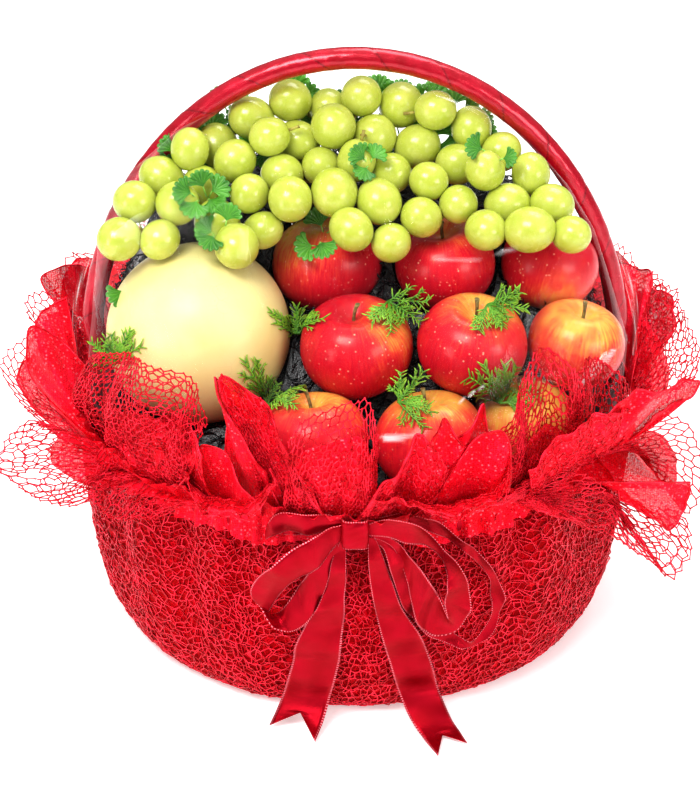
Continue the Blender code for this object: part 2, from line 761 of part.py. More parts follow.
def world_points(objects):
    """The corners and edge middles of objects as evaluated, in world space, moved outwards by the
    film's gap."""
    bpy.context.view_layer.update()
    graph = bpy.context.evaluated_depsgraph_get()
    found = []
    for obj in objects:
        evaluated = obj.evaluated_get(graph)
        mesh = evaluated.to_mesh()
        turn = evaluated.matrix_world.to_3x3()
        moved = []
        for vertex in mesh.vertices:
            outwards = (turn @ vertex.normal).normalized()
            moved.append(evaluated.matrix_world @ vertex.co + outwards * FILM_GAP)
        found += moved
        found += [(moved[i] + moved[j]) / 2 for i, j in (edge.vertices for edge in mesh.edges)]
        evaluated.to_mesh_clear()
    return found


def wall_place(x, z, lift):
    """A point in front of the wrapped bowl, lifted off its wall."""
    radius = wall_radius(z) + lift
    return Vector((x, -math.sqrt(radius * radius - x * x), z))


def smooth_line(points, per_span):
    """Catmull-Rom through the points."""
    ends = [points[0] * 2 - points[1], *points, points[-1] * 2 - points[-2]]
    found = []
    for a, b, c, d in zip(ends, ends[1:], ends[2:], ends[3:]):
        for k in range(per_span):
            t = k / per_span
            found.append(0.5 * (2 * b + (c - a) * t + (2 * a - 5 * b + 4 * c - d) * t * t
                                + (3 * b - a - 3 * c + d) * t * t * t))
    return found + [points[-1]]


def ribbon(name, line, widths, across, thickness, material, notch=0.0):
    """A flat band along a line. across gives the width's direction at each point, and a notch cuts
    the far end to a swallowtail."""
    shares = (-0.5, 0.0, 0.5) if notch else (-0.5, 0.5)
    points, faces = [], []
    last = len(line) - 1
    for k, (place, width, side) in enumerate(zip(line, widths, across)):
        ahead = (line[min(k + 1, last)] - line[max(k - 1, 0)]).normalized()
        side = (side - ahead * side.dot(ahead)).normalized()
        face = ahead.cross(side)
        cut = ahead * (-notch if k == last else 0.0)
        for share in shares:
            for layer in (-0.5, 0.5):
                corner = place + side * width * share + face * thickness * layer
                points.append(corner + cut * (share == 0.0))
    wide = 2 * len(shares)
    for k in range(last):
        a, b = wide * k, wide * (k + 1)
        for c in range(0, wide - 2, 2):
            faces += [(a + c, a + c + 2, b + c + 2, b + c), (a + c + 1, b + c + 1, b + c + 3, a + c + 3)]
        faces += [(a, b, b + 1, a + 1), (a + wide - 2, a + wide - 1, b + wide - 1, b + wide - 2)]
    for a in (0, wide * last):
        for c in range(0, wide - 2, 2):
            faces.append((a + c, a + c + 1, a + c + 3, a + c + 2))
    return new_object(name, points, faces, material, smooth=False)


def make_bow(material):
    """Knot, four loops and two notched tails, fused as one length of ribbon."""
    knot = wall_place(0.0, BOW_Z, 0.0095)
    bpy.ops.mesh.primitive_cube_add(size=1, location=knot)
    block = bpy.context.object
    block.scale = KNOT_SIZE
    bpy.ops.object.transform_apply(location=False, rotation=False, scale=True)
    soften = block.modifiers.new("soft", "BEVEL")
    soften.width = 0.003
    soften.segments = 1
    pieces = [block]

    def band(name, stops, sides, widths, notch=0.0):
        line = smooth_line([Vector(p) for p in stops], 2)
        turn = smooth_line([Vector(s) for s in sides], 2)
        wide = [w.x for w in smooth_line([Vector((w, 0, 0)) for w in widths], 2)]
        pieces.append(ribbon(name, line, wide, turn, SATIN_T, material, notch))

    def from_wall(rows):
        return [wall_place(*row) for row in rows]

    full = [0.012, SATIN_W, SATIN_W, SATIN_W, SATIN_W, SATIN_W, 0.012]
    band("loop_left_low",
         from_wall([(-0.002, 0.163, 0.010), (-0.034, 0.149, 0.024), (-0.064, 0.117, 0.026),
                    (-0.066, 0.091, 0.019), (-0.045, 0.087, 0.015), (-0.024, 0.118, 0.013),
                    (-0.003, 0.159, 0.008)]),
         [(0, 0, 1), (0.4, -0.3, 0.8), (0.8, -0.55, 0.3), (0.6, -0.8, -0.2),
          (0.1, -0.8, -0.6), (-0.5, -0.7, -0.4), (-0.4, 0, 1)], full)
    band("loop_left_high",
         from_wall([(-0.002, 0.167, 0.010), (-0.030, 0.176, 0.022), (-0.058, 0.172, 0.024),
                    (-0.066, 0.164, 0.017), (-0.050, 0.160, 0.011), (-0.026, 0.163, 0.009),
                    (-0.003, 0.165, 0.007)]),
         [(0, 0, 1), (0, -0.3, 1), (0.1, -0.3, 1), (0.2, -0.2, 1),
          (0.1, 0, 1), (0, 0, 1), (0, 0, 1)], [0.012, 0.020, 0.023, 0.023, 0.020, 0.016, 0.012])
    band("loop_right_low",
         from_wall([(0.002, 0.165, 0.011), (0.036, 0.160, 0.025), (0.066, 0.131, 0.027),
                    (0.072, 0.096, 0.020), (0.050, 0.083, 0.016), (0.029, 0.116, 0.014),
                    (0.003, 0.159, 0.009)]),
         [(0, 0, 1), (-0.2, -0.4, 0.9), (-0.7, -0.6, 0.5), (-0.8, -0.6, -0.1),
          (-0.2, -0.8, -0.5), (0.5, -0.7, -0.4), (0.4, 0, 1)], full)
    band("loop_right_high",
         from_wall([(0.002, 0.169, 0.008), (0.045, 0.172, 0.012), (0.088, 0.140, 0.014),
                    (0.103, 0.098, 0.014), (0.090, 0.066, 0.013), (0.060, 0.070, 0.011),
                    (0.040, 0.100, 0.010)]),
         [(0, 0, 1), (-0.1, -0.2, 1), (-0.7, -0.4, 0.6), (-1, -0.4, 0),
          (-0.4, -0.6, -0.7), (0.2, -0.5, -0.8), (0.4, -0.5, -0.6)],
         [0.012, 0.018, 0.018, 0.018, 0.016, 0.014, 0.012])
    band("tail_left",
         [*from_wall([(-0.004, 0.158, 0.009), (-0.012, 0.130, 0.009), (-0.019, 0.090, 0.008),
                      (-0.027, 0.045, 0.008)]), (-0.036, -0.205, 0.012), (-0.045, -0.219, TAIL_END_Z)],
         [(1, 0, 0.1), (1, 0, 0.1), (1, 0, 0.2), (1, 0, 0.3), (1, -0.4, 0.3), (1, -0.5, 0)],
         TAIL_WIDTHS, notch=0.013)
    band("tail_right",
         [*from_wall([(0.005, 0.158, 0.009), (0.014, 0.130, 0.009), (0.023, 0.090, 0.008),
                      (0.034, 0.045, 0.008)]), (0.048, -0.206, 0.012), (0.064, -0.226, TAIL_END_Z)],
         [(1, 0, -0.1), (1, 0, -0.1), (1, 0, -0.2), (1, 0, -0.3), (1, 0.35, -0.3), (1, 0.6, 0)],
         TAIL_WIDTHS, notch=0.012)
    return united("bow", pieces, material, solver="MANIFOLD")


def main():
    clear_scene()
    net = finish_of("red_net", RED_NET, 0.45)
    satin = finish_of("red_satin", RED_SATIN, 0.32)
    cane = finish_of("handle_ribbon", (0.58, 0.008, 0.03), 0.28)
    bowl = finish_of("bowl_plastic", (0.16, 0.01, 0.015), 0.6)
    make_bowl(bowl)
    make_wrap(net)
    make_tie(satin)
    make_collar(net)
    handle = tube("handle", handle_line(), HANDLE_R, cane)
    make_bow(satin)

    melon = make_melon(finish_of("melon_rind", (0.78, 0.68, 0.38), 0.5))
    apple_skin = finish_of("apple_skin", (0.56, 0.05, 0.03), 0.3)
    apples = [make_apple(row, apple_skin) for row in APPLES]
    balls = [(slope_point(*MELON_AT), MELON_R)]
    balls += [(slope_point(*row[1:4]), row[4]) for row in APPLES]
    grapes = settle_grapes(garland_seeds(), balls)
    bunches = make_bunches(grapes, finish_of("grape_skin", (0.50, 0.62, 0.08), 0.25))

    spheres = [(*slope_coordinates(place), size) for place, size in balls]
    spheres += [(*slope_coordinates(place), size) for place, size, _ in grapes]
    leaf = finish_of("parsley_leaf", (0.03, 0.22, 0.04), 0.4)
    needle = finish_of("conifer_sprig", (0.09, 0.26, 0.04), 0.5)
    greens = []
    for k, row in enumerate(PARSLEY, 1):
        greens.append(draped_sheet(f"parsley_{k:02d}", *trefoil(*row), spheres, LEAF_GAP, LEAF_T, leaf))
    for k, row in enumerate(SPRIGS, 1):
        greens.append(draped_sheet(f"sprig_{k:02d}", *frond(*row), spheres, LEAF_GAP, SPRIG_T, needle))

    filling = make_filling(finish_of("black_filling", (0.02, 0.02, 0.025), 0.7))
    cutters = [cutter_ball(place, size * 1.08 + 0.0008) for place, size in balls]
    below = Vector((0, 0, -0.002))
    around_handle = handle_line()
    around_handle = [around_handle[0] + below, *around_handle, around_handle[-1] + below]
    cutters.append(tube("cutter", around_handle, HANDLE_R + 0.0018, cane))
    cut_from(filling, cutters)

    film = finish_of("clear_film", (0.95, 0.97, 1.0), 0.05, 0.12)
    covered = world_points([melon, *apples, *bunches, *greens])
    film_sheet("film_front", -1, covered, film)
    covered_back = covered + world_points([filling])
    film_sheet("film_back", 1, covered_back, film)


main()
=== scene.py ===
"""Looks of the fruit gift basket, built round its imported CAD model.

Metres, +Z up, in the CAD's own frame. The display faces -Y. Azimuths run from -Y towards +X.
"""

import math
import random
from contextlib import contextmanager

import bmesh
import bpy
import numpy as np
from mathutils import Euler, Matrix, Vector
from mathutils.bvhtree import BVHTree


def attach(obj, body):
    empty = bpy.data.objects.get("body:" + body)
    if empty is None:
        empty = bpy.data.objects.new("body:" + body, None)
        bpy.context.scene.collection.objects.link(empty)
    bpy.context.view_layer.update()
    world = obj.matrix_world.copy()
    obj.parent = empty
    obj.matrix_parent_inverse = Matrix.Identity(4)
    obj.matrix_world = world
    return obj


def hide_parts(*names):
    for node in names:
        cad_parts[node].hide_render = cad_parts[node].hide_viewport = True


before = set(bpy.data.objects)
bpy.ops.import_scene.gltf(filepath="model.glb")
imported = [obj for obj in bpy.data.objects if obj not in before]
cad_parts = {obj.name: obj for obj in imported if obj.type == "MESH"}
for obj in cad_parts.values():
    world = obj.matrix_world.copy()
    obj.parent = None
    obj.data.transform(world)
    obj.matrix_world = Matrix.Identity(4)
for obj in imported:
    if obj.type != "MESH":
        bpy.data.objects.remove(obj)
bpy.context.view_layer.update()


# ---------------------------------------------------------------- sizes shared with the CAD

FOOT_R = 0.166
RIM_R = 0.204
RIM_Z = 0.181
WALL_CURVE = 0.32
WRAP_T = 0.0022
WRAP_TOP_Z = 0.1760
PLEATS = 12
PLEAT_DEPTH = 0.0016
BOWL_WALL = 0.003
GAP = 0.0018

TIE_LOW_Z = 0.1595
TIE_HIGH_Z = 0.1700

COLLAR_ROOT_R = 0.2052
COLLAR_ROOT_Z = 0.1715
HOOP_HALF = 0.196
HOOP_RISE = 0.239
HOOP_SPRING_Z = 0.190
HOOP_TUBE_R = 0.008
LEG_FOOT_Z = 0.110
LEG_TOP_Z = 0.225

SLOPE_Y = -0.200
SLOPE_Z = 0.176
SLOPE = math.atan2(0.244, 0.200)

MELON_AT = (-0.1115, 0.138, -0.057)
MELON_R = 0.066
APPLE_TALL = 0.86
GRAPE_R = 0.0151
GRAPE_PITCH = 0.0250
GARLAND_CENTRE = (-0.006, 0.130)
GARLAND_R = 0.171
GARLAND_ENDS = (24.0, 158.0)
BUNCHES = (("grapes_right", 68.0), ("grapes_middle", 117.0), ("grapes_left", 180.0))

BOW_Z = 0.171
PARSLEY_NODES = 13
FILM_LOW_Z = 0.1835

# Each apple: name, place across and up the slope, height off it, radius, and lean in degrees; then
# where its yellow cheek faces (across, up, off), how yellow that cheek is, and how far it spreads
APPLES = [
    ("apple_top_left", -0.020, 0.192, -0.073, 0.0405, (-10, 8, 20), (-0.5, 0.8, 0.5), 0.95, 1.0),
    ("apple_top_middle", 0.065, 0.189, -0.061, 0.0370, (-6, -4, 75), (0.3, 0.9, 0.4), 0.70, 0.9),
    ("apple_top_right", 0.140, 0.190, -0.068, 0.0360, (8, -8, 130), (0.1, -0.9, 0.3), 0.75, 0.6),
    ("apple_middle_left", 0.001, 0.124, -0.038, 0.0405, (-8, 8, 200), (0.75, 0.35, 0.6), 0.75, 0.55),
    ("apple_middle", 0.082, 0.123, -0.027, 0.0395, (-8, 5, 250), (0.25, 0.8, 0.5), 0.95, 0.65),
    ("apple_middle_right", 0.156, 0.127, -0.042, 0.0355, (-10, 6, 300), (0.1, 0.6, 0.8), 0.95, 1.45),
    ("apple_low_left", -0.029, 0.0545, -0.025, 0.0395, (-8, -6, 340), (0.1, 0.9, 0.3), 0.90, 0.75),
    ("apple_low_middle", 0.052, 0.0545, -0.025, 0.0400, (-10, 4, 60), (0.0, 0.9, 0.45), 1.00, 0.95),
    ("apple_low_right", 0.120, 0.073, -0.060, 0.0375, (-8, 6, 110), (0.0, 0.6, 0.8), 1.10, 1.6),
]

# The garland's lower edge: how far up the slope it reaches down to, by place across
GARLAND_LOW = [
    (-0.175, 0.190), (-0.150, 0.184), (-0.125, 0.200), (-0.095, 0.196), (-0.070, 0.178), (-0.045, 0.200),
    (-0.015, 0.212), (0.015, 0.184), (0.040, 0.214), (0.060, 0.222), (0.085, 0.202), (0.110, 0.192),
    (0.140, 0.188), (0.165, 0.205),
]


# ---------------------------------------------------------------- sizes of the looks

SATIN_T = 0.0005
KNOT_T = 0.0006
# Length of the band that goes round the knot
KNOT_BAND = 0.06
# How far along the ribbon its billows fade in, in steps of its line
BILLOW_FADE = 14
LINING_T = 0.0006
LEAF_T = 0.00025
# How far a leaf may be raised to clear the grapes under it
LEAF_LIFT = 0.022
SHORTEST_SHOOT = 0.0022
SHRED_T = 0.00015
SHREDS = 2600
SHREDS_R = 0.186
SAME_PLACE = 0.00001

NET_PITCH = 0.0074
NET_STRAND_R = 0.00050
COLLAR_STRAND_R = 0.00052
KNOT_R = 0.00095
HEM_R = 0.00075
HEM_BARS = 69
# Petals whose free edge lies left of this belong to the left net
COLLAR_SPLIT_X = 0.016
# A petal wider than this cups no more than one of this width
WIDEST_CUP = 0.09
# Share of the net's joints that are dropped in a petal's outer half
HOLE_SHARE = 0.05
# A strand longer than this, in cells, is torn
LONGEST_STRAND = 2.2
# Height of the wrap's underside
SOLE_Z = 0.0015

CAMERA_AIM = Vector((0.0, 0.0, 0.2))
CAMERA_FAR = 1.9
CAMERA_UP = math.radians(28)
LENS = 116.5
SHIFT = (-0.0063, -0.0614)
FLOOR_HALF = 6.0
# Just below the foot, so that the two don't flicker into each other
FLOOR_Z = -0.0012

# Each light: its name, place, the height it faces, its width and height, and its power in watts
LIGHTS = [
    ("key", (-0.7, -1.2, 2.1), 0.2, (1.1, 0.8), 44), ("fill", (1.6, -1.5, 0.9), 0.15, (1.0, 0.8), 19),
    ("low", (-1.5, -1.4, 0.5), 0.15, (0.5, 0.9), 9), ("top", (0.4, 0.6, 1.9), 0.2, (1.2, 0.8), 20),
]

# Azimuths in degrees between which the wrap's folds are drawn at random
BACK_FOLDS = (74, 286)
# The other folds of the wrap: azimuth in degrees, half width in degrees, height, how far down they
# reach, and how far they lean aside on the way, in degrees
WRAP_FOLDS = [
    (-46, 2.4, 0.0030, 0.10, -6), (-37, 1.8, -0.0034, 0.15, 2), (-30, 2.6, 0.0036, 0.16, 4),
    (-22, 1.8, -0.0034, 0.15, -3), (-15, 2.2, 0.0030, 0.12, -4), (-6, 2.4, 0.0028, 0.15, -3),
    (2, 1.6, -0.0030, 0.16, 0), (8, 2.2, 0.0030, 0.15, 4), (17, 1.8, -0.0026, 0.12, 4),
    (27, 2.4, 0.0032, 0.14, 5), (35, 1.9, -0.0036, 0.16, -4), (43, 2.8, 0.0036, 0.15, -6),
    (54, 2.0, -0.0030, 0.13, -5), (63, 2.6, 0.0030, 0.12, 3), (-58, 2.0, -0.0030, 0.12, 5),
    (-69, 2.6, 0.0030, 0.13, 3),
]

# Petals of the collar that show from the front. Each has the azimuths in degrees where its root
# starts and ends, how far along it the organza reaches, the pitch of its open net in mm (0 for
# none), how much it arches and cups, how many folds run up it, and its free edge in mm
PETALS = [
    ("left_back", -114, -98, 1.00, 0, 0.06, 0.10, 2,
     [(-196, 72, 227), (-208, 66, 234), (-222, 60, 236), (-235, 52, 230), (-231, 46, 219),
      (-224, 42, 210)]),
    ("left_strip", -99, -90, 0.72, 6.6, 0.06, 0.00, 2,
     [(-221, 50, 220), (-237, 44, 222), (-248, 36, 219), (-244, 26, 210), (-237, 20, 203)]),
    ("left_upper", -90, -78, 1.00, 0, 0.08, 0.06, 2,
     [(-218, 40, 219), (-228, 34, 217), (-237, 26, 211), (-240, 16, 203), (-235, 4, 194)]),
    ("left_skirt", -74, -60, 0.80, 7.4, 0.10, -0.06, 3,
     [(-232, 14, 209), (-246, 4, 206), (-257, -6, 200), (-261, -18, 189), (-250, -34, 175),
      (-232, -52, 166), (-215, -66, 159), (-201, -80, 157)]),
    ("left_main", -68, -54, 1.00, 0, 0.10, 0.14, 2,
     [(-191, -52, 203), (-211, -36, 220), (-230, -28, 228), (-237, -32, 212), (-235, -44, 195),
      (-219, -58, 183), (-201, -76, 171)]),
    ("left_inner", -60, -48, 1.00, 0, 0.10, 0.10, 1,
     [(-180, -76, 204), (-174, -84, 199), (-165, -100, 187)]),
    ("left_low", -60, -46, 0.56, 8.8, 0.08, 0.10, 2,
     [(-212, -80, 168), (-231, -84, 182), (-242, -90, 182), (-252, -104, 163), (-250, -110, 152),
      (-233, -118, 144), (-211, -126, 140), (-186, -134, 145)]),
    ("left_front", -54, -28, 0.34, 8.2, 0.10, 0.10, 3,
     [(-184, -141, 178), (-186, -134, 156), (-177, -144, 145), (-163, -159, 146), (-142, -179, 160),
      (-121, -193, 176), (-106, -202, 189)]),
    ("left_roll", -52, -26, 1.00, 7.2, 0.14, -0.20, 3,
     [(-182, -120, 176), (-174, -132, 194), (-150, -161, 218), (-129, -181, 238), (-113, -194, 236),
      (-101, -202, 227)]),
    ("flap", -76, -34, 0.00, 6.6, 0.10, 0.10, 2,
     [(-186, -88, 230), (-178, -104, 250), (-158, -140, 265), (-139, -173, 283), (-122, -190, 280),
      (-111, -197, 273), (-107, -195, 257), (-102, -195, 242)]),
    ("flap_low", -58, -34, 0.90, 7.0, 0.10, 0.06, 2,
     [(-170, -125, 214), (-155, -146, 231), (-138, -165, 243), (-121, -180, 245), (-105, -191, 240)]),
    ("left_cup", -38, -18, 1.00, 0, 0.06, -0.06, 1,
     [(-110, -193, 207), (-104, -196, 226), (-86, -208, 216), (-72, -216, 206), (-61, -222, 197)]),
    ("left_lip", -36, -12, 0.85, 6.4, 0.20, 0.10, 3,
     [(-112, -196, 206), (-110, -209, 196), (-101, -221, 187), (-87, -231, 186), (-71, -237, 192),
      (-58, -236, 204), (-52, -230, 216), (-58, -221, 228)]),
    ("tall_left", -28, -13, 1.00, 0, 0.02, 0.10, 1,
     [(-88, -193, 214), (-88, -195, 240), (-86, -198, 268), (-87, -199, 287), (-74, -207, 254),
      (-65, -211, 232), (-59, -213, 218)]),
    ("tall_right", -18, -4, 1.00, 6.2, 0.04, 0.12, 2,
     [(-65, -210, 228), (-74, -205, 253), (-87, -198, 285), (-74, -204, 281), (-65, -208, 273),
      (-55, -212, 263), (-46, -215, 248), (-39, -218, 230), (-31, -220, 209)]),
    ("dome_net", -14, 4, 0.74, 6.2, 0.06, 0.16, 2,
     [(-45, -211, 224), (-44, -214, 243), (-38, -217, 258), (-28, -219, 269), (-12, -222, 274),
      (1, -222, 280), (7, -222, 285), (12, -221, 276), (15, -219, 254), (15, -218, 233)]),
    ("right_peak", -1, 12, 1.00, 6.6, 0.05, 0.12, 2,
     [(13, -224, 204), (20, -224, 217), (29, -224, 232), (35, -224, 244), (41, -224, 254),
      (51, -222, 245), (58, -221, 232), (63, -218, 218)]),
    ("thin_left", 4, 20, 1.00, 0, 0.03, 0.06, 1,
     [(49, -208, 226), (54, -208, 240), (58, -208, 259), (67, -206, 243), (80, -202, 223)]),
    ("thin_right", 10, 26, 1.00, 0, 0.03, 0.06, 1,
     [(64, -202, 233), (74, -200, 245), (85, -196, 260), (88, -196, 246), (91, -196, 223)]),
    ("right_cup", 8, 30, 1.00, 0, 0.06, -0.08, 1,
     [(60, -218, 207), (70, -216, 221), (83, -212, 235), (96, -208, 248), (103, -206, 235),
      (105, -206, 216)]),
    ("right_lip", 3, 32, 0.85, 6.4, 0.18, 0.10, 3,
     [(18, -231, 201), (30, -234, 209), (38, -239, 202), (50, -241, 197), (66, -240, 194),
      (82, -235, 192), (96, -226, 197), (104, -216, 206), (105, -209, 220)]),
    ("diamond", 26, 46, 0.52, 7.0, 0.06, 0.14, 2,
     [(91, -196, 214), (96, -196, 240), (102, -194, 254), (109, -191, 270), (115, -189, 285),
      (126, -183, 295), (137, -177, 285), (150, -168, 263), (159, -159, 241)]),
    ("right_hollow", 42, 64, 0.50, 7.2, 0.10, -0.20, 2,
     [(149, -164, 239), (153, -161, 255), (161, -152, 260), (171, -142, 257), (184, -126, 244),
      (194, -113, 226), (198, -108, 209)]),
    ("right_wall", 34, 58, 1.00, 7.0, 0.10, 0.10, 3,
     [(117, -201, 212), (133, -193, 231), (152, -181, 241), (174, -163, 238), (194, -141, 224)]),
    ("right_band", 40, 60, 1.00, 0, 0.06, 0.14, 3,
     [(166, -164, 234), (190, -148, 243), (207, -134, 241), (238, -108, 234), (229, -116, 224),
      (219, -124, 218), (205, -136, 214)]),
    ("right_high", 98, 84, 1.00, 0, 0.06, 0.12, 2,
     [(200, 96, 222), (211, 90, 223), (221, 82, 221), (228, 72, 220), (226, 60, 208), (221, 44, 197),
      (217, 28, 186)]),
    ("right_net", 92, 74, 0.56, 8.4, 0.06, 0.10, 3,
     [(227, 70, 221), (237, 60, 213), (246, 48, 204), (252, 34, 196), (257, 20, 186), (257, 4, 177),
      (252, -6, 172)]),
    ("right_mid", 72, 46, 1.00, 0, 0.04, 0.10, 2,
     [(236, -108, 124), (240, -110, 137), (239, -112, 146), (226, -116, 147)]),
    ("right_main", 50, 68, 0.72, 8.0, 0.10, 0.14, 4,
     [(209, -98, 192), (218, -94, 193), (228, -92, 191), (237, -92, 184), (243, -94, 172),
      (247, -98, 161), (247, -104, 149), (245, -112, 136), (238, -120, 126)]),
    ("right_fold", 44, 56, 1.00, 0, 0.16, 0.14, 3,
     [(238, -124, 156), (236, -126, 144), (230, -128, 132), (223, -130, 120), (210, -136, 133),
      (197, -142, 146), (186, -146, 155)]),
    ("right_droop", 44, 58, 0.40, 9.0, 0.06, 0.08, 3,
     [(236, -126, 131), (239, -128, 117), (237, -132, 102), (233, -136, 93), (225, -140, 87),
      (210, -144, 103), (194, -148, 118), (175, -152, 134)]),
    ("right_front", 26, 38, 0.30, 7.6, 0.10, 0.10, 2,
     [(115, -192, 197), (127, -187, 198), (145, -176, 195), (157, -168, 187), (165, -160, 172),
      (172, -152, 155), (174, -148, 132), (155, -173, 153), (134, -192, 170), (120, -200, 180),
      (110, -202, 187)]),
]

# Petals round the back: azimuth of the middle, and how far out and up of the root the tip lies
BACK_PETALS = [
    (103, 0.040, 0.050), (112, 0.052, 0.032), (122, 0.038, 0.050), (132, 0.056, 0.030), (143, 0.040, 0.058),
    (156, 0.060, 0.032), (168, 0.044, 0.052), (180, 0.042, 0.058), (192, 0.060, 0.034), (205, 0.042, 0.058),
    (218, 0.060, 0.032), (230, 0.046, 0.046), (240, 0.056, 0.034),
]

# Bands of the bow, each as its two edges: across, height and lift off the wrapped wall of the
# first edge, then of the second, in mm. The tails end on the floor, cut to a swallowtail
BANDS = {
    "loop_left_low": [
        (-8, 177, 10, -8, 165, 10), (-19, 175, 15, -15, 159, 13), (-31, 171, 22, -23, 150, 18),
        (-46, 162, 28, -31, 143, 22), (-61, 147, 30, -45, 134, 24), (-71, 129, 27, -56, 112, 18),
        (-68, 113, 24, -59, 99, 9), (-59, 99, 22, -58, 95, 8), (-48, 89, 18, -52, 100, 9),
        (-38, 91, 14, -44, 113, 9), (-28, 103, 11, -35, 130, 9), (-21, 120, 9, -28, 143, 9),
        (-15, 144, 8, -18, 152, 8), (-7, 160, 7, -9, 165, 7),
    ],
    "loop_left_high": [
        (-8, 180, 8, -8, 173, 8), (-21, 185, 12, -19, 171, 10), (-33, 186, 14, -31, 170, 12),
        (-52, 184, 14, -45, 169, 12), (-58, 175, 10, -56, 163, 10), (-60, 165, 6, -61, 156, 6),
        (-51, 167, 4, -50, 161, 4), (-31, 172, 4, -31, 166, 4), (-9, 174, 5, -9, 168, 5),
    ],
    "loop_right_high": [
        (9, 178, 6, 9, 172, 6), (25, 182, 8, 28, 175, 8), (41, 182, 10, 44, 171, 9),
        (55, 177, 12, 56, 164, 10), (71, 161, 14, 68, 154, 10), (86, 144, 14, 82, 138, 10),
        (98, 122, 13, 92, 120, 9), (104, 99, 12, 96, 100, 9), (102, 82, 12, 95, 84, 9),
        (95, 67, 12, 90, 72, 9), (85, 62, 12, 82, 67, 9), (73, 64, 10, 72, 73, 8),
        (61, 70, 8, 62, 81, 6), (51, 77, 7, 53, 91, 5), (40, 93, 7, 45, 105, 5),
        (32, 108, 7, 39, 116, 6), (25, 134, 8, 36, 135, 6), (19, 155, 8, 30, 153, 6),
        (9, 160, 8, 11, 168, 7),
    ],
    "loop_right_low": [
        (8, 177, 10, 8, 168, 10), (25, 185, 18, 25, 168, 14), (40, 184, 24, 39, 164, 18),
        (52, 175, 28, 52, 158, 18), (62, 163, 32, 59, 148, 16), (72, 147, 30, 63, 136, 18),
        (79, 125, 25, 62, 125, 20), (79, 104, 20, 62, 111, 20), (73, 87, 18, 64, 101, 22),
        (62, 81, 14, 63, 103, 20), (52, 80, 12, 60, 112, 18), (43, 91, 10, 53, 127, 16),
        (39, 109, 9, 45, 140, 14), (34, 134, 8, 37, 151, 12), (25, 157, 8, 29, 161, 10),
        (10, 166, 8, 10, 171, 8),
    ],
    "tail_left": [
        (-9, 166, 8, -5, 166, 8), (-12, 157, 9, -6, 157, 9), (-16, 146, 10, -6, 147, 9),
        (-19, 129, 10, -6, 131, 9), (-25, 110, 9, -7, 117, 9), (-33, 93, 8, -7, 101, 8),
        (-42, 70, 8, -9, 79, 8), (-45, 50, 8, -11, 57, 8), (-51, 22, 8, -17, 26, 9),
        (-56, 9, 18, -22, 9, 23), (-61, 2, 35, -28, 2, 47),
    ],
    "tail_right": [
        (9, 166, 8, 13, 165, 8), (9, 157, 9, 16, 159, 9), (9, 146, 10, 20, 147, 9),
        (11, 124, 10, 26, 127, 9), (15, 98, 9, 33, 104, 8), (20, 74, 8, 45, 81, 8),
        (25, 53, 8, 53, 56, 8), (31, 26, 8, 60, 23, 9), (39, 9, 24, 68, 9, 30), (49, 2, 48, 74, 2, 45),
        (58, 2, 68, 79, 2, 60),
    ],
}

# Each leaf cluster: place across and up the slope, leaflet size, heading in degrees, how many
# leaflets, and how far off the slope it stands behind the grapes, or None where it lies on them
PARSLEY = [
    (-0.091, 0.295, 0.0175, 80, 2, -0.036), (-0.080, 0.288, 0.015, 60, 2, -0.040),
    (-0.101, 0.276, 0.0175, 150, 2, -0.036), (-0.112, 0.273, 0.014, 120, 1, -0.036),
    (-0.125, 0.260, 0.015, 165, 2, -0.030), (-0.042, 0.306, 0.016, 95, 3, -0.040),
    (-0.026, 0.292, 0.015, 30, 2, -0.036), (-0.060, 0.292, 0.014, 200, 1, -0.040),
    (-0.007, 0.297, 0.015, 95, 2, -0.044), (0.014, 0.309, 0.015, 100, 2, -0.044),
    (0.031, 0.306, 0.015, 70, 3, -0.044), (0.053, 0.303, 0.015, 60, 3, -0.044),
    (0.072, 0.296, 0.016, 50, 2, -0.040), (0.087, 0.283, 0.014, 20, 2, -0.038),
    (0.105, 0.263, 0.013, 20, 1, -0.036), (-0.066, 0.270, 0.016, 240, 2, -0.036),
    (-0.018, 0.267, 0.014, 20, 1, -0.036), (0.032, 0.267, 0.014, 200, 1, -0.036),
    (-0.094, 0.252, 0.017, 200, 2, -0.036), (-0.022, 0.206, 0.0165, 60, 2, -0.036),
    (-0.160, 0.167, 0.0165, 250, 1, -0.030),
    (-0.121, 0.251, 0.017, 200, 2, -0.040), (-0.085, 0.271, 0.017, 160, 2, -0.044),
    (-0.067, 0.268, 0.016, 20, 1, -0.044), (-0.045, 0.291, 0.017, 60, 2, -0.046),
    (-0.038, 0.269, 0.016, 240, 1, -0.044), (-0.007, 0.277, 0.017, 120, 2, -0.046),
    (0.032, 0.283, 0.017, 60, 2, -0.046), (0.055, 0.276, 0.017, 10, 2, -0.046),
    (-0.152, 0.211, 0.015, 120, 1, -0.036), (0.081, 0.261, 0.016, 30, 1, -0.042),
    (-0.104, 0.226, 0.0150, 35, 3, None), (-0.109, 0.222, 0.0150, 215, 2, None),
    (-0.090, 0.199, 0.0140, 70, 1, None), (-0.096, 0.196, 0.0140, 195, 2, None),
    (-0.026, 0.196, 0.0150, 250, 2, None), (0.010, 0.248, 0.0130, 150, 3, None),
    (0.093, 0.256, 0.0140, 165, 1, None), (0.100, 0.250, 0.0120, -10, 1, None),
]

# Each sprig: place across and up the slope, length and turn in degrees
SPRIGS = [
    (-0.171, 0.122, 0.026, 95), (-0.052, 0.094, 0.030, 40), (-0.040, 0.146, 0.022, 85),
    (0.031, 0.142, 0.032, -55), (0.101, 0.137, 0.030, -40), (0.041, 0.084, 0.031, 30),
    (0.108, 0.093, 0.031, 60),
]

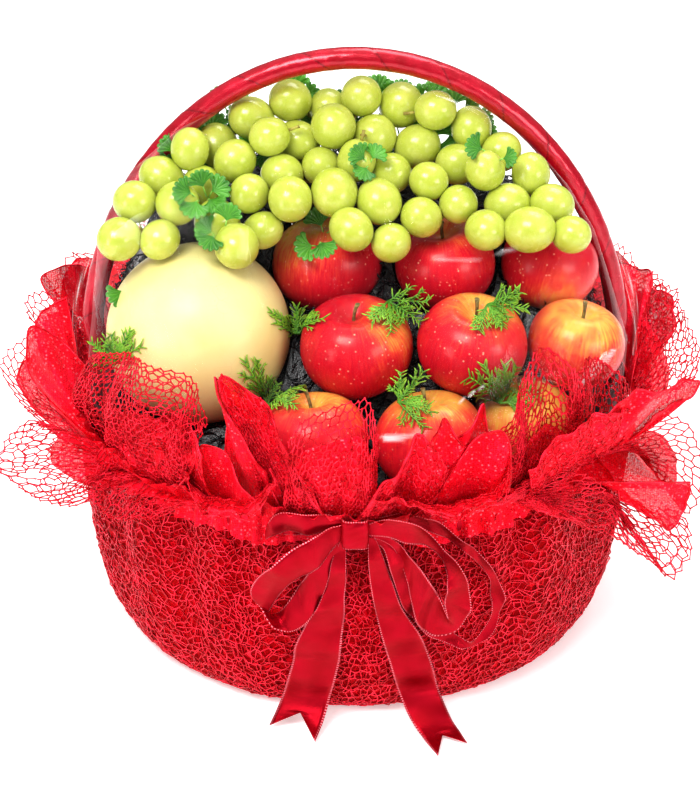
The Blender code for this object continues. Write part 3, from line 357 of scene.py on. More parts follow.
# White creases of the film, each also a painted highlight: where each starts and ends in mm, its half width
# and its strength
CREASES_AND_HIGHLIGHTS_FRONT = [
    ((-7, -102, 319), (60, -103, 317), 2.6, 0.40), ((24, -101, 319), (104, -100, 320), 4.2, 0.55),
    ((86, -99, 321), (124, -92, 327), 4.4, 0.50), ((16, -180, 225), (93, -168, 221), 4.2, 0.72),
    ((150, -132, 236), (181, -112, 257), 5.5, 0.42), ((68, -165, 242), (99, -147, 256), 0.9, 0.5),
    ((56, -150, 260), (70, -150, 261), 0.8, 0.5), ((-38, -102, 319), (-7, -102, 319), 1.0, 0.3),
    ((-150, -92, 318), (-122, -74, 346), 3.0, 0.25),
]

# Each strip of film along the handle: its side, where along the hoop it starts and ends in
# radians, how far out of the hoop and in front of it its middle lies, and its width
FILM_STRIPS = [
    (1, 0.02, 0.62, 0.0125, -0.006, 0.0050), (1, 0.05, 0.80, 0.0110, -0.011, 0.0036),
    (-1, 0.02, 0.75, 0.0120, -0.007, 0.0044), (1, 0.45, 1.25, -0.0125, -0.008, 0.0060),
    (-1, 0.40, 0.95, -0.0120, -0.008, 0.0040),
]


# ---------------------------------------------------------------- making meshes


def new_piece(name, points, faces, material):
    """A piece of the object from arrays of points and of triangles or quads. It rides on the root."""
    points = np.asarray(points, np.float32).reshape(-1, 3)
    faces = np.asarray(faces, np.int32)
    mesh = bpy.data.meshes.new(name)
    mesh.vertices.add(len(points))
    mesh.vertices.foreach_set("co", points.ravel())
    mesh.loops.add(faces.size)
    mesh.loops.foreach_set("vertex_index", faces.ravel())
    mesh.polygons.add(len(faces))
    mesh.polygons.foreach_set("loop_start", np.arange(0, faces.size, faces.shape[1], dtype=np.int32))
    mesh.update(calc_edges=True)
    mesh.validate()
    mesh.polygons.foreach_set("use_smooth", [True] * len(mesh.polygons))
    obj = bpy.data.objects.new(name, mesh)
    bpy.context.scene.collection.objects.link(obj)
    mesh.materials.append(material)
    return obj


def give_uv(obj, across, along):
    """Sets UVs from a value across and a value along at each vertex."""
    layer = obj.data.uv_layers.new(name="UVMap")
    corner = np.zeros(len(obj.data.loops), np.int32)
    obj.data.loops.foreach_get("vertex_index", corner)
    values = np.stack([np.asarray(across)[corner], np.asarray(along)[corner]], axis=1)
    layer.data.foreach_set("uv", values.astype(np.float32).ravel())


def give_value(obj, name, values):
    """A named value at each vertex, for the materials to read."""
    attribute = obj.data.attributes.new(name, "FLOAT", "POINT")
    attribute.data.foreach_set("value", np.asarray(values, np.float32))


def thicken(obj, thickness, offset=0.0):
    """Gives a sheet its thickness, half to each side unless it is offset."""
    solid = obj.modifiers.new("thickness", "SOLIDIFY")
    solid.thickness = thickness
    solid.offset = offset


@contextmanager
def reshaped(obj):
    """A mesh opened as a bmesh, and written back at the end."""
    shape = bmesh.new()
    shape.from_mesh(obj.data)
    yield shape
    shape.to_mesh(obj.data)
    shape.free()


def weld(obj):
    """Joins the corners that lie at one place, such as those at a ball's poles."""
    with reshaped(obj) as shape:
        bmesh.ops.remove_doubles(shape, verts=shape.verts, dist=SAME_PLACE)


def close_ends(obj, pointed):
    """Closes the open rings of a turned body, each with a flat face or round its own middle."""
    with reshaped(obj) as shape:
        open_edges = [edge for edge in shape.edges if edge.is_boundary]
        caps = bmesh.ops.holes_fill(shape, edges=open_edges)["faces"]
        if pointed:
            for cap in caps:
                bmesh.ops.poke(shape, faces=[cap])
            for face in shape.faces:
                face.smooth = True
        bmesh.ops.recalc_face_normals(shape, faces=shape.faces)


def joined(pieces):
    """One object from several, their modifiers applied."""
    graph = bpy.context.evaluated_depsgraph_get()
    shape = bmesh.new()
    for piece in pieces:
        shape.from_mesh(bpy.data.meshes.new_from_object(piece.evaluated_get(graph)))
    whole = pieces[0]
    whole.modifiers.clear()
    shape.to_mesh(whole.data)
    shape.free()
    for piece in pieces[1:]:
        bpy.data.objects.remove(piece)
    return whole


def grid_faces(rows, columns, closed=False):
    """Quads over a grid of points, row after row. A closed grid joins its last column to its first."""
    i, j = np.meshgrid(np.arange(rows - 1), np.arange(columns if closed else columns - 1), indexing="ij")
    after = (j + 1) % columns
    return np.stack([i * columns + j, i * columns + after, (i + 1) * columns + after,
                     (i + 1) * columns + j], axis=-1).reshape(-1, 4)


def grid_area(grid):
    """Area of a sheet from its grid of points."""
    around = np.linalg.norm(np.diff(grid, axis=1), axis=2)
    down = np.linalg.norm(np.diff(grid, axis=0), axis=2)
    return float((around[1:] * down[:, 1:]).sum())


def ring_angles(rows, columns):
    """The turn of each point of a grid of closed rings, ring after ring."""
    return np.tile(np.linspace(0, 2 * np.pi, columns, endpoint=False), rows)


def ball_angles(rings, segments, poles=False):
    """How high and how far round each point of a ball lies, ring after ring from its foot up."""
    ring = np.arange(rings + 1) if poles else np.arange(1, rings)
    return np.repeat(-np.pi / 2 + np.pi * ring / rings, segments), ring_angles(len(ring), segments)


def turned(r, turn, z):
    """Points from their distances from an upright axis, turns about it and heights."""
    return np.stack([r * np.cos(turn), r * np.sin(turn), z], axis=1)


def unit(vectors):
    """Vectors at length 1."""
    return vectors / np.maximum(np.linalg.norm(vectors, axis=-1, keepdims=True), 1e-9)


def repeated(solid, count, stride, first=0):
    """The triangles of a small solid, for each of a row of its copies."""
    return (np.array(solid)[None] + np.arange(count)[:, None, None] * stride + first).reshape(-1, 3)


def bar_sides(starts, ends, normals, radii, sides, turn=0.0):
    """The corners round both ends of straight bars, one array for each corner, and the triangles
    between those of one bar."""
    along = unit(ends - starts)
    side = unit(np.cross(along, normals))
    over = np.cross(along, side)
    corners, triangles = [], []
    for place, radius in zip((starts, ends), radii):
        for k in range(sides):
            angle = 2 * math.pi * (k + turn) / sides
            corners.append(place + (side * math.cos(angle) + over * math.sin(angle)) * radius)
    for k in range(sides):
        after = (k + 1) % sides
        triangles += [(k, after, sides + after), (k, sides + after, sides + k)]
    return corners, triangles


def strand_mesh(name, starts, ends, normals, radius, material, knots=None, sides=3):
    """A short round bar for each pair of ends, with a face along the normal it is given, and a
    bead at each knot."""
    beyond = unit(ends - starts) * radius * 0.5
    corners, bar = bar_sides(starts - beyond, ends + beyond, normals, (radius, radius), sides, -0.25)
    points = np.stack(corners, axis=1).reshape(-1, 3)
    faces = repeated(bar, len(starts), 2 * sides)
    if knots is not None:
        tips = np.array([(1, 0, 0), (0, 1, 0), (-1, 0, 0), (0, -1, 0), (0, 0, 1), (0, 0, -1)]) * KNOT_R
        bead = [(a, (a + 1) % 4, 4) for a in range(4)] + [((a + 1) % 4, a, 5) for a in range(4)]
        faces = np.concatenate([faces, repeated(bead, len(knots), len(tips), len(points))])
        points = np.concatenate([points, (knots[:, None] + tips[None]).reshape(-1, 3)])
    return new_piece(name, points, faces, material)


def bars(name, rows, material, sides=6):
    """Round bars, each from a start to an end with its two radii, closed at both ends."""
    points, faces = [], []
    for start, end, r_start, r_end in rows:
        along = (end - start).normalized()
        side = along.orthogonal().normalized()
        up = along.cross(side)
        base = len(points)
        tip = base + 1 + 2 * sides
        points.append(start)
        for centre, radius in ((start, r_start), (end, r_end)):
            for k in range(sides):
                angle = 2 * math.pi * k / sides
                points.append(centre + (side * math.cos(angle) + up * math.sin(angle)) * radius)
        points.append(end)
        for k in range(sides):
            a, b = base + 1 + k, base + 1 + (k + 1) % sides
            faces += [(a, b, b + sides), (a, b + sides, a + sides)]
            faces += [(base, b, a), (tip, a + sides, b + sides)]
    return new_piece(name, points, faces, material)


def honeycomb(columns, rows, closed):
    """Joints of a honeycomb as (column, row) numbers, and its strands as pairs of joints."""
    i, j = np.meshgrid(np.arange(columns), np.arange(rows), indexing="ij")
    zigzag = np.where((i + j) % 2 == 0, 1 / 6, -1 / 6)
    number = i * rows + j
    beside = number[1:], number[:-1]
    strands = [np.stack([beside[0].ravel(), beside[1].ravel()], axis=1)]
    if closed:
        strands.append(np.stack([number[0], number[-1]], axis=1))
    rising = ((i + j) % 2 == 0)[:, :-1]
    strands.append(np.stack([number[:, :-1][rising], number[:, 1:][rising]], axis=1))
    return i.ravel().astype(float), (j + zigzag).ravel(), np.concatenate(strands)


def smooth_line(points, per_span):
    """Catmull-Rom through the points."""
    ends = [points[0] * 2 - points[1], *points, points[-1] * 2 - points[-2]]
    found = []
    for a, b, c, d in zip(ends, ends[1:], ends[2:], ends[3:]):
        for k in range(per_span):
            t = k / per_span
            found.append(0.5 * (2 * b + (c - a) * t + (2 * a - 5 * b + 4 * c - d) * t * t
                                + (3 * b - a - 3 * c + d) * t * t * t))
    return found + [points[-1]]


def spline_line(points, count=160):
    """Evenly spaced points along a smooth curve through a few, with its length."""
    fine = np.array([tuple(p) for p in smooth_line([Vector(p) for p in points], 16)])
    run = np.concatenate([[0], np.cumsum(np.linalg.norm(np.diff(fine, axis=0), axis=1))])
    even = np.linspace(0, run[-1], count)
    return np.stack([np.interp(even, run, fine[:, k]) for k in range(3)], axis=1), run[-1]


def push_off(points, balls, gap):
    """Moves points that lie within a ball to its skin."""
    for centre, radius in balls:
        away = points - centre
        far = np.linalg.norm(away, axis=1, keepdims=True)
        skin = centre + away / np.maximum(far, 1e-6) * (radius + gap)
        points = np.where(far < radius + gap, skin, points)
    return points


def node_tree(name):
    """A node of the CAD, to cast rays at."""
    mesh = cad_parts[name].data
    return BVHTree.FromPolygons([v.co for v in mesh.vertices], [p.vertices for p in mesh.polygons])


# ---------------------------------------------------------------- places on the basket


def wall_radius(z):
    """Outer radius of the wrapped bowl at heights."""
    t = np.clip(np.asarray(z) / RIM_Z, 0.0, 1.0)
    return FOOT_R + (RIM_R - FOOT_R) * (1 - (1 - t) ** 2) ** WALL_CURVE


def wall_place(x, z, lift):
    """A point in front of the wrapped bowl, lifted off its wall."""
    radius = float(wall_radius(z)) + lift
    return Vector((x, -math.sqrt(radius * radius - x * x), z))


SLOPE_TURN = Matrix((
    (1, 0, 0),
    (0, math.cos(SLOPE), -math.sin(SLOPE)),
    (0, math.sin(SLOPE), math.cos(SLOPE)),
))


def to_slope(points):
    """Points as across, up and off the slope."""
    y, z = points[:, 1] - SLOPE_Y, points[:, 2] - SLOPE_Z
    up = y * math.cos(SLOPE) + z * math.sin(SLOPE)
    off = -y * math.sin(SLOPE) + z * math.cos(SLOPE)
    return np.stack([points[:, 0], up, off], axis=1)


def from_slope(points):
    """to_slope turned round."""
    across, up, off = points.T
    y = SLOPE_Y + up * math.cos(SLOPE) - off * math.sin(SLOPE)
    return np.stack([across, y, SLOPE_Z + up * math.sin(SLOPE) + off * math.cos(SLOPE)], axis=1)


def slope_point(*place):
    """A point of the display slope: across it, up it, and off it towards the viewer."""
    return Vector(from_slope(np.array([place]))[0])


def hoop_point(angle):
    """A point of the hoop's centreline, from its right spring at 0 to its left at pi."""
    return Vector((HOOP_HALF * math.cos(angle), 0.0, HOOP_SPRING_Z + HOOP_RISE * math.sin(angle)))


def leg_points(side, count=6):
    """A leg's centreline, from its foot inside the bowl's wall up to where it joins the hoop."""
    found = []
    for k in range(count):
        z = LEG_FOOT_Z + (LEG_TOP_Z - LEG_FOOT_Z) * k / count
        inside = float(wall_radius(z)) - WRAP_T - GAP - BOWL_WALL - HOOP_TUBE_R - 0.0022
        t = min(max((z - 0.172) / (LEG_TOP_Z - 0.172), 0.0), 1.0)
        joined = HOOP_HALF * math.sqrt(1 - ((LEG_TOP_Z - HOOP_SPRING_Z) / HOOP_RISE) ** 2)
        found.append(Vector((side * (inside + (joined - inside) * t * t * (3 - 2 * t)), 0.0, z)))
    return found


def handle_line(arcs=30):
    """The handle's centreline, from its right foot over the hoop to its left foot."""
    start = math.asin((LEG_TOP_Z - HOOP_SPRING_Z) / HOOP_RISE)
    hoop = [hoop_point(start + (math.pi - 2 * start) * k / arcs) for k in range(arcs + 1)]
    return leg_points(1) + hoop + leg_points(-1)[::-1]


# ---------------------------------------------------------------- materials


class Paint:
    """A Principled material, with short calls for the nodes that feed it."""

    def __init__(self, name, colour, roughness, **sockets):
        self.material = bpy.data.materials.new(name)
        self.material.use_nodes = True
        self.nodes = self.material.node_tree.nodes
        self.links = self.material.node_tree.links
        self.shader = self.nodes["Principled BSDF"]
        self.feed(self.shader, {"Base Color": (*colour, 1.0), "Roughness": roughness})
        self.feed(self.shader, {key.replace("_", " "): value for key, value in sockets.items()})

    def feed(self, node, inputs):
        """Sets or links a node's inputs, by their names or numbers."""
        for key, value in inputs.items():
            if isinstance(value, bpy.types.NodeSocket):
                self.links.new(value, node.inputs[key])
            else:
                node.inputs[key].default_value = value

    def add(self, kind, inputs, **settings):
        node = self.nodes.new("ShaderNode" + kind)
        for key, value in settings.items():
            setattr(node, key, value)
        self.feed(node, inputs)
        return node

    def place(self):
        """The place on the piece, in metres."""
        return self.add("TexCoord", {}).outputs["Object"]

    def uv(self):
        return self.add("TexCoord", {}).outputs["UV"]

    def attribute(self, name):
        """A value that give_value set at each vertex."""
        return self.add("Attribute", {}, attribute_name=name).outputs["Fac"]

    def noise(self, scale, detail=3.0, vector=None, rough=0.55):
        inputs = {"Scale": scale, "Detail": detail, "Roughness": rough, "Vector": vector or self.place()}
        return self.add("TexNoise", inputs).outputs["Fac"]

    def uv_noise(self, scale, detail, rough):
        """Noise drawn out along the UV map."""
        vector = self.add("Mapping", {"Vector": self.uv(), "Scale": (*scale, 1.0)}).outputs["Vector"]
        return self.noise(1.0, detail, vector, rough)

    def cells(self, scale, feature="F1", vector=None, randomness=1.0):
        inputs = {"Scale": scale, "Randomness": randomness, "Vector": vector or self.place()}
        return self.add("TexVoronoi", inputs, feature=feature).outputs["Distance"]

    def math(self, operation, *inputs, clamp=False):
        return self.add("Math", dict(enumerate(inputs)), operation=operation, use_clamp=clamp).outputs[0]

    def times(self, a, b):
        """A product."""
        return self.math("MULTIPLY", a, b)

    def vector(self, operation, *inputs):
        return self.add("VectorMath", dict(enumerate(inputs)), operation=operation).outputs[0]

    def fit(self, value, low, high, to_low=0.0, to_high=1.0):
        """A value's range from low to high stretched to another, and held at its ends."""
        inputs = {"Value": value, "From Min": low, "From Max": high, "To Min": to_low, "To Max": to_high}
        return self.add("MapRange", inputs).outputs["Result"]

    def cloud(self, scale, detail, low, high):
        """Noise that runs from 0 to 1 between two of its values."""
        return self.fit(self.noise(scale, detail), low, high)

    def dots(self, scale, inner, outer):
        """Round dots, 1 inside and 0 outside."""
        return self.fit(self.cells(scale), inner, outer, 1.0, 0.0)

    def mix(self, factor, a, b):
        """Two colours mixed by a factor."""
        a, b = ((*shade, 1.0) if isinstance(shade, tuple) else shade for shade in (a, b))
        return self.add("Mix", {0: factor, 6: a, 7: b}, data_type="RGBA").outputs[2]

    def colour(self, output):
        self.drive("Base Color", output)

    def drive(self, socket, output):
        self.links.new(output, self.shader.inputs[socket])

    def bump(self, height, strength, distance):
        node = self.add("Bump", {"Height": height, "Strength": strength, "Distance": distance})
        self.drive("Normal", node.outputs["Normal"])


def mottled_paint(name, colour, roughness, cloud, dark, light, grain=None, **sockets):
    """A plain material that drifts between two shades, with a fine grain: its scale, strength
    and depth."""
    paint = Paint(name, colour, roughness, **sockets)
    paint.colour(paint.mix(paint.cloud(*cloud), dark, light))
    if grain:
        paint.bump(paint.noise(grain[0], 3), *grain[1:])
    return paint.material


def net_strand_paint():
    """Shiny knitted thread, a little uneven in colour."""
    paint = Paint("net_strand", (0.85, 0.01, 0.04), 0.26, Metallic=0.35, Specular_IOR_Level=0.5,
                  Specular_Tint=(1.0, 0.45, 0.52, 1.0))
    uneven = paint.cloud(110, 3, 0.38, 0.64)
    paint.colour(paint.mix(uneven, (0.54, 0.0006, 0.008), (1.0, 0.024, 0.062)))
    paint.bump(paint.noise(2600, 2), 0.6, 0.0004)
    return paint.material


def lining_paint():
    """The cloth under the net: deep red, with the weave of a second net laid on it."""
    paint = Paint("wrap_lining", (0.40, 0.001, 0.004), 0.5, Metallic=0.2, Specular_IOR_Level=0.1,
                  Specular_Tint=(1.0, 0.2, 0.25, 1.0))
    noise = paint.add("TexNoise", {"Vector": paint.place(), "Scale": 16.0, "Detail": 1.0})
    drift = paint.vector("MULTIPLY", noise.outputs["Color"], (0.02, 0.02, 0.02))
    edge = paint.cells(185, "DISTANCE_TO_EDGE", paint.vector("ADD", paint.place(), drift), 0.7)
    strand = paint.fit(edge, 0.04, 0.13, 1.0, 0.0)
    deep = paint.mix(paint.cloud(22, 3, 0.3, 0.7), (0.20, 0.0002, 0.0010), (0.40, 0.0004, 0.0022))
    paint.colour(paint.mix(strand, deep, (0.60, 0.0015, 0.010)))
    paint.drive("Roughness", paint.fit(strand, 0, 1, 0.65, 0.4))
    paint.bump(strand, 0.9, 0.0009)
    return paint.material


def organza_paint():
    """Fine stiff net: bright threads round darker holes, with painted pink glints, and a little clear."""
    paint = Paint("organza", (0.95, 0.004, 0.03), 0.40, Metallic=0.3, Specular_IOR_Level=0.25,
                  Specular_Tint=(1.0, 0.25, 0.32, 1.0))
    weave = paint.cells(620, "DISTANCE_TO_EDGE", randomness=0.6)
    thread = paint.fit(weave, 0.06, 0.24, 1.0, 0.0)
    painted_glint_spread = paint.fit(paint.noise(150, 2), 0.36, 0.56, 0.1, 0.9)
    painted_glint = paint.times(paint.dots(340, 0.05, 0.34), painted_glint_spread)
    cloudy = paint.cloud(30, 3, 0.35, 0.7)
    holes = paint.mix(cloudy, (0.74, 0.0003, 0.005), (1.0, 0.0014, 0.014))
    lines = paint.mix(cloudy, (0.92, 0.002, 0.018), (1.0, 0.016, 0.060))
    body = paint.mix(thread, holes, lines)
    # Painted highlight: pink glint dots mixed into the cloth's colour
    paint.colour(paint.mix(painted_glint, body, (1.0, 0.28, 0.36)))
    paint.drive("Alpha", paint.fit(thread, 0, 1, 0.78, 1.0))
    paint.bump(thread, 0.6, 0.0005)
    return paint.material


def satin_paint():
    """Satin ribbon: fine cross threads, with a stitched selvedge. U runs across it and V along it."""
    paint = Paint("satin", (0.50, 0.002, 0.012), 0.30, Metallic=0.65, Specular_IOR_Level=0.45,
                  Specular_Tint=(1.0, 0.30, 0.42, 1.0), Anisotropic=0.3)
    across, along, _ = paint.add("SeparateXYZ", {0: paint.uv()}).outputs
    from_middle = paint.math("ABSOLUTE", paint.math("SUBTRACT", across, 0.5))
    selvedge = paint.fit(from_middle, 0.452, 0.468)
    stitch = paint.fit(paint.math("SINE", paint.times(along, 3600.0)), -0.2, 0.4)
    thread = paint.math("SINE", paint.times(along, 15000.0))
    body = paint.mix(paint.cloud(60, 2, 0.3, 0.7), (0.31, 0.0003, 0.006), (0.40, 0.0010, 0.013))
    edge = paint.times(selvedge, stitch)
    paint.colour(paint.mix(paint.times(edge, 0.8), body, (1.0, 0.30, 0.36)))
    paint.bump(paint.math("ADD", paint.times(thread, 0.12), edge), 0.5, 0.0003)
    return paint.material


def handle_paint():
    """Shiny ribbon wound on a cane, with a crease at each turn painted dark as shade, and fine cross
    wrinkles.
    """
    paint = Paint("handle_ribbon", (0.60, 0.002, 0.016), 0.22, Metallic=0.3, Specular_IOR_Level=0.6,
                  Specular_Tint=(1.0, 0.6, 0.66, 1.0), Coat_Weight=0.45, Coat_Roughness=0.08)
    wrinkles = paint.noise(420, 4, rough=0.7)
    streaks = paint.uv_noise((30.0, 260.0), 3, 0.6)
    body = paint.mix(paint.cloud(70, 3, 0.3, 0.7), (0.36, 0.0006, 0.010), (0.54, 0.003, 0.026))
    # Painted shade: the crease at each turn, from the lap value, is painted near black
    paint.colour(paint.mix(paint.attribute("lap"), body, (0.13, 0.0005, 0.003)))
    paint.drive("Roughness", paint.fit(wrinkles, 0.3, 0.7, 0.12, 0.30))
    paint.bump(paint.math("ADD", wrinkles, streaks), 0.40, 0.0006)
    return paint.material


def grape_paint():
    """Pale green skin: milky on top, a painted highlight, and a deep glowing yellow green below, painted
    glow and shade.
    """
    paint = Paint("grape_skin", (0.52, 0.62, 0.07), 0.24, Subsurface_Weight=0.22,
                  Subsurface_Radius=(0.9, 1.0, 0.2), Subsurface_Scale=0.003, Coat_Weight=0.2,
                  Coat_Roughness=0.14, Specular_IOR_Level=0.45)
    patch = paint.cloud(90, 3, 0.3, 0.72)
    pale = paint.mix(patch, (0.44, 0.51, 0.055), (0.55, 0.59, 0.120))
    painted_glow_below = paint.mix(patch, (0.33, 0.39, 0.002), (0.43, 0.47, 0.005))
    # Painted light: the low value mixes the pale painted highlight on top into the deeper painted glow and
    # shade below
    skin = paint.mix(paint.attribute("low"), pale, painted_glow_below)
    veins = paint.fit(paint.cells(420, "DISTANCE_TO_EDGE"), 0.0, 0.05, 1.0, 0.0)
    skin = paint.mix(paint.times(veins, 0.08), skin, (0.75, 0.80, 0.40))
    specks = paint.times(paint.dots(260, 0.05, 0.09), 0.35)
    paint.colour(paint.mix(specks, skin, (0.26, 0.24, 0.03)))
    paint.drive("Roughness", paint.fit(paint.noise(150, 4), 0.35, 0.7, 0.17, 0.33))
    paint.bump(paint.noise(700, 2), 0.08, 0.0003)
    return paint.material


def apple_paint():
    """Red flushed over yellow in streaks from stalk to eye, with pale dots."""
    paint = Paint("apple_skin", (0.5, 0.03, 0.02), 0.36, Coat_Weight=0.14, Coat_Roughness=0.16,
                  Specular_IOR_Level=0.35, Specular_Tint=(1.0, 0.7, 0.6, 1.0),
                  Subsurface_Weight=0.06, Subsurface_Radius=(1.0, 0.3, 0.1), Subsurface_Scale=0.003)
    place = paint.place()
    heading = paint.vector("NORMALIZE", paint.vector("MULTIPLY", place, (1.0, 1.0, 0.0)))
    around = paint.vector("MULTIPLY", heading, (9.0, 9.0, 9.0))
    lifted = paint.vector("MULTIPLY", place, (0.0, 0.0, 26.0))
    streak = paint.noise(3.2, 5, paint.vector("ADD", around, lifted), 0.65)
    mottle = paint.noise(75, 4)
    red = paint.attribute("flush")
    for pattern, share in ((streak, 0.80), (mottle, 0.60)):
        red = paint.math("ADD", red, paint.times(paint.math("SUBTRACT", pattern, 0.5), share))
    ramp = paint.add("ValToRGB", {0: red})
    stops = ramp.color_ramp.elements
    stops[0].position, stops[0].color = 0.06, (0.78, 0.47, 0.090, 1)
    stops[1].position, stops[1].color = 0.98, (0.50, 0.003, 0.022, 1)
    for position, colour in ((0.24, (0.80, 0.25, 0.060, 1)), (0.42, (0.78, 0.075, 0.042, 1)),
                             (0.66, (0.66, 0.012, 0.030, 1))):
        stops.new(position).color = colour
    dots = paint.times(paint.dots(230, 0.10, 0.20), paint.cloud(110, 1, 0.38, 0.56))
    paint.colour(paint.mix(paint.times(dots, 0.75), ramp.outputs["Color"], (0.95, 0.50, 0.34)))
    paint.drive("Roughness", paint.fit(mottle, 0.3, 0.7, 0.24, 0.38))
    paint.bump(paint.noise(380, 3), 0.05, 0.0005)
    return paint.material


def melon_paint():
    """Smooth cream rind, warmer in random patches, with faint specks and hair lines."""
    paint = Paint("melon_rind", (0.84, 0.74, 0.36), 0.42, Coat_Weight=0.12, Coat_Roughness=0.3,
                  Subsurface_Weight=0.08, Subsurface_Radius=(1.0, 0.8, 0.3), Subsurface_Scale=0.004)
    cloud = paint.cloud(17, 4, 0.3, 0.7)
    rind = paint.mix(cloud, (0.77, 0.66, 0.27), (0.87, 0.77, 0.39))
    lines = paint.fit(paint.cells(95, "DISTANCE_TO_EDGE"), 0.0, 0.03, 1.0, 0.0)
    lines = paint.times(paint.times(lines, paint.cloud(30, 2, 0.52, 0.66)), 0.4)
    rind = paint.mix(lines, rind, (0.62, 0.50, 0.22))
    speck = paint.dots(270, 0.05, 0.10)
    few = paint.times(paint.times(speck, paint.cloud(55, 2, 0.5, 0.62)), 0.6)
    paint.colour(paint.mix(few, rind, (0.50, 0.38, 0.14)))
    paint.drive("Roughness", paint.fit(cloud, 0, 1, 0.48, 0.34))
    paint.bump(paint.math("ADD", paint.noise(150, 5), paint.times(speck, 0.3)), 0.10, 0.0012)
    return paint.material


def parsley_paint():
    """Two greens in clouds, with paler ribs."""
    paint = Paint("parsley_leaf", (0.03, 0.19, 0.025), 0.36, Coat_Weight=0.12, Coat_Roughness=0.25)
    rib = paint.attribute("rib")
    blade = paint.mix(paint.cloud(70, 3, 0.3, 0.7), (0.022, 0.150, 0.008), (0.095, 0.36, 0.024))
    paint.colour(paint.mix(rib, blade, (0.30, 0.60, 0.10)))
    paint.bump(paint.math("ADD", paint.noise(900, 3), rib), 0.4, 0.0004)
    return paint.material


def sprig_paint():
    """Deep green scales that turn bright towards their tips."""
    paint = Paint("conifer_sprig", (0.08, 0.24, 0.035), 0.45)
    body = paint.mix(paint.cloud(130, 3, 0.3, 0.7), (0.035, 0.170, 0.012), (0.12, 0.38, 0.025))
    paint.colour(paint.mix(paint.attribute("tip"), body, (0.40, 0.66, 0.05)))
    paint.bump(paint.noise(1500, 2), 0.5, 0.0004)
    return paint.material


def shred_paint():
    """Black shredded film, which glints along its curls."""
    paint = Paint("black_shred", (0.004, 0.004, 0.005), 0.24, Specular_IOR_Level=0.45)
    cloud = paint.cloud(90, 3, 0.3, 0.75)
    paint.colour(paint.mix(cloud, (0.002, 0.002, 0.003), (0.012, 0.013, 0.017)))
    paint.drive("Roughness", paint.fit(cloud, 0, 1, 0.18, 0.4))
    paint.bump(paint.noise(500, 4), 0.5, 0.001)
    return paint.material


def film_paint():
    """Clear film: a mirror as strong as its gloss, with a faint painted white glow, and cloudy white where
    it is creased as a painted highlight.
    """
    paint = Paint("clear_film", (1.0, 1.0, 1.0), 0.06, Metallic=1.0, Emission_Color=(1, 1, 1, 1))
    gloss = paint.fit(paint.add("Fresnel", {"IOR": 1.16}).outputs[0], 0.0, 0.5, 0.0, 0.19)
    haze = paint.fit(paint.uv_noise((7.0, 2.2), 4, 0.65), 0.55, 0.9)
    streak = paint.fit(paint.uv_noise((14.0, 90.0), 3, 0.6), 0.35, 0.6, 0.4, 1.0)
    # Painted highlight: the creases turn white and opaque
    crease = paint.times(paint.attribute("crease"), streak)
    faint = paint.math("MULTIPLY_ADD", haze, 0.05, gloss)
    paint.drive("Alpha", paint.math("MAXIMUM", faint, crease, clamp=True))
    # Painted light: emission makes the film glow white, faintly where clear and more where creased
    for socket, deep, clear, white in (("Metallic", 0.25, 1.0, 0.0), ("Roughness", 0.6, 0.05, 0.5),
                                       ("Emission Strength", 0.5, 0.35, 0.75)):
        paint.drive(socket, paint.fit(crease, 0.0, deep, clear, white))
    paint.bump(paint.uv_noise((46.0, 7.0), 3, 0.5), 0.4, 0.003)
    return paint.material


# ---------------------------------------------------------------- the wrapped bowl


def wrap_profile(count):
    """Radii and heights of the wrap from under its foot up to the tie, evenly spaced, and its run."""
    z = SOLE_Z + (WRAP_TOP_Z - SOLE_Z) * np.linspace(0, 1, 400) ** 2.2
    r = wall_radius(z)
    under_r = np.linspace(FOOT_R - 0.045, r[0], 20)[:-1]
    z = np.concatenate([np.full(len(under_r), SOLE_Z), z])
    r = np.concatenate([under_r, r])
    run = np.concatenate([[0], np.cumsum(np.hypot(np.diff(r), np.diff(z)))])
    even = np.linspace(0, run[-1], count)
    return np.interp(even, run, r), np.interp(even, run, z), run[-1]


def fold_height(angle, z):
    """How far the wrap stands off its wall: the CAD's pleats, folds drawn down from the tie, with
    more of them at random round the back, and fine creases."""
    drawn = np.sin(np.pi * np.clip(z / WRAP_TOP_Z, 0, 1)) ** 0.7
    high = PLEAT_DEPTH * drawn * np.sin(PLEATS * angle + 1.4 * np.sin(3 * angle))
    draw = random.Random(11)
    folds = list(WRAP_FOLDS)
    azimuth, back_ends = BACK_FOLDS
    while azimuth < back_ends:
        width, side, height = draw.uniform(1.6, 3.0), draw.choice((-1, 1)), draw.uniform(0.0022, 0.0036)
        folds.append((azimuth, width, side * height, draw.uniform(0.08, 0.16), draw.uniform(-6, 6)))
        azimuth += draw.uniform(7, 12)
    down = WRAP_TOP_Z - z
    for centre, width, height, reach, lean in folds:
        middle = math.radians(centre - 90) + math.radians(lean) * down / WRAP_TOP_Z
        aside = (angle - middle + np.pi) % (2 * np.pi) - np.pi
        spread = math.radians(width) * (1 + 1.2 * down / WRAP_TOP_Z)
        fade = np.clip(1 - down / reach, 0, 1) ** 0.7
        high = high + height * fade * np.exp(-(aside / spread) ** 2)
    creases = np.sin(47 * angle + 60 * z) * np.sin(31 * angle - 75 * z + 1.0)
    return high + 0.0006 * creases * np.clip(z / 0.02, 0, 1)


def wrap_points(angle, r, z, lift):
    """Points of the folded wrap, lifted off it, from a smooth one's."""
    off_floor = z > 0.002
    r = r + np.where(off_floor, fold_height(angle, z) + lift, 0)
    return turned(r, angle, np.where(off_floor, z, z - np.minimum(lift, 0.001)))


def make_lining(material):
    """The cloth that the net lies on, closed under the foot."""
    columns, rows = 480, 56
    r, z, run = wrap_profile(rows)
    points = wrap_points(ring_angles(rows, columns), np.repeat(r, columns), np.repeat(z, columns), 0.0)
    lining = new_piece("wrap_lining", points, grid_faces(rows, columns, True), material)
    thicken(lining, LINING_T, -1.0)
    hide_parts("net_wrap")
    return lining


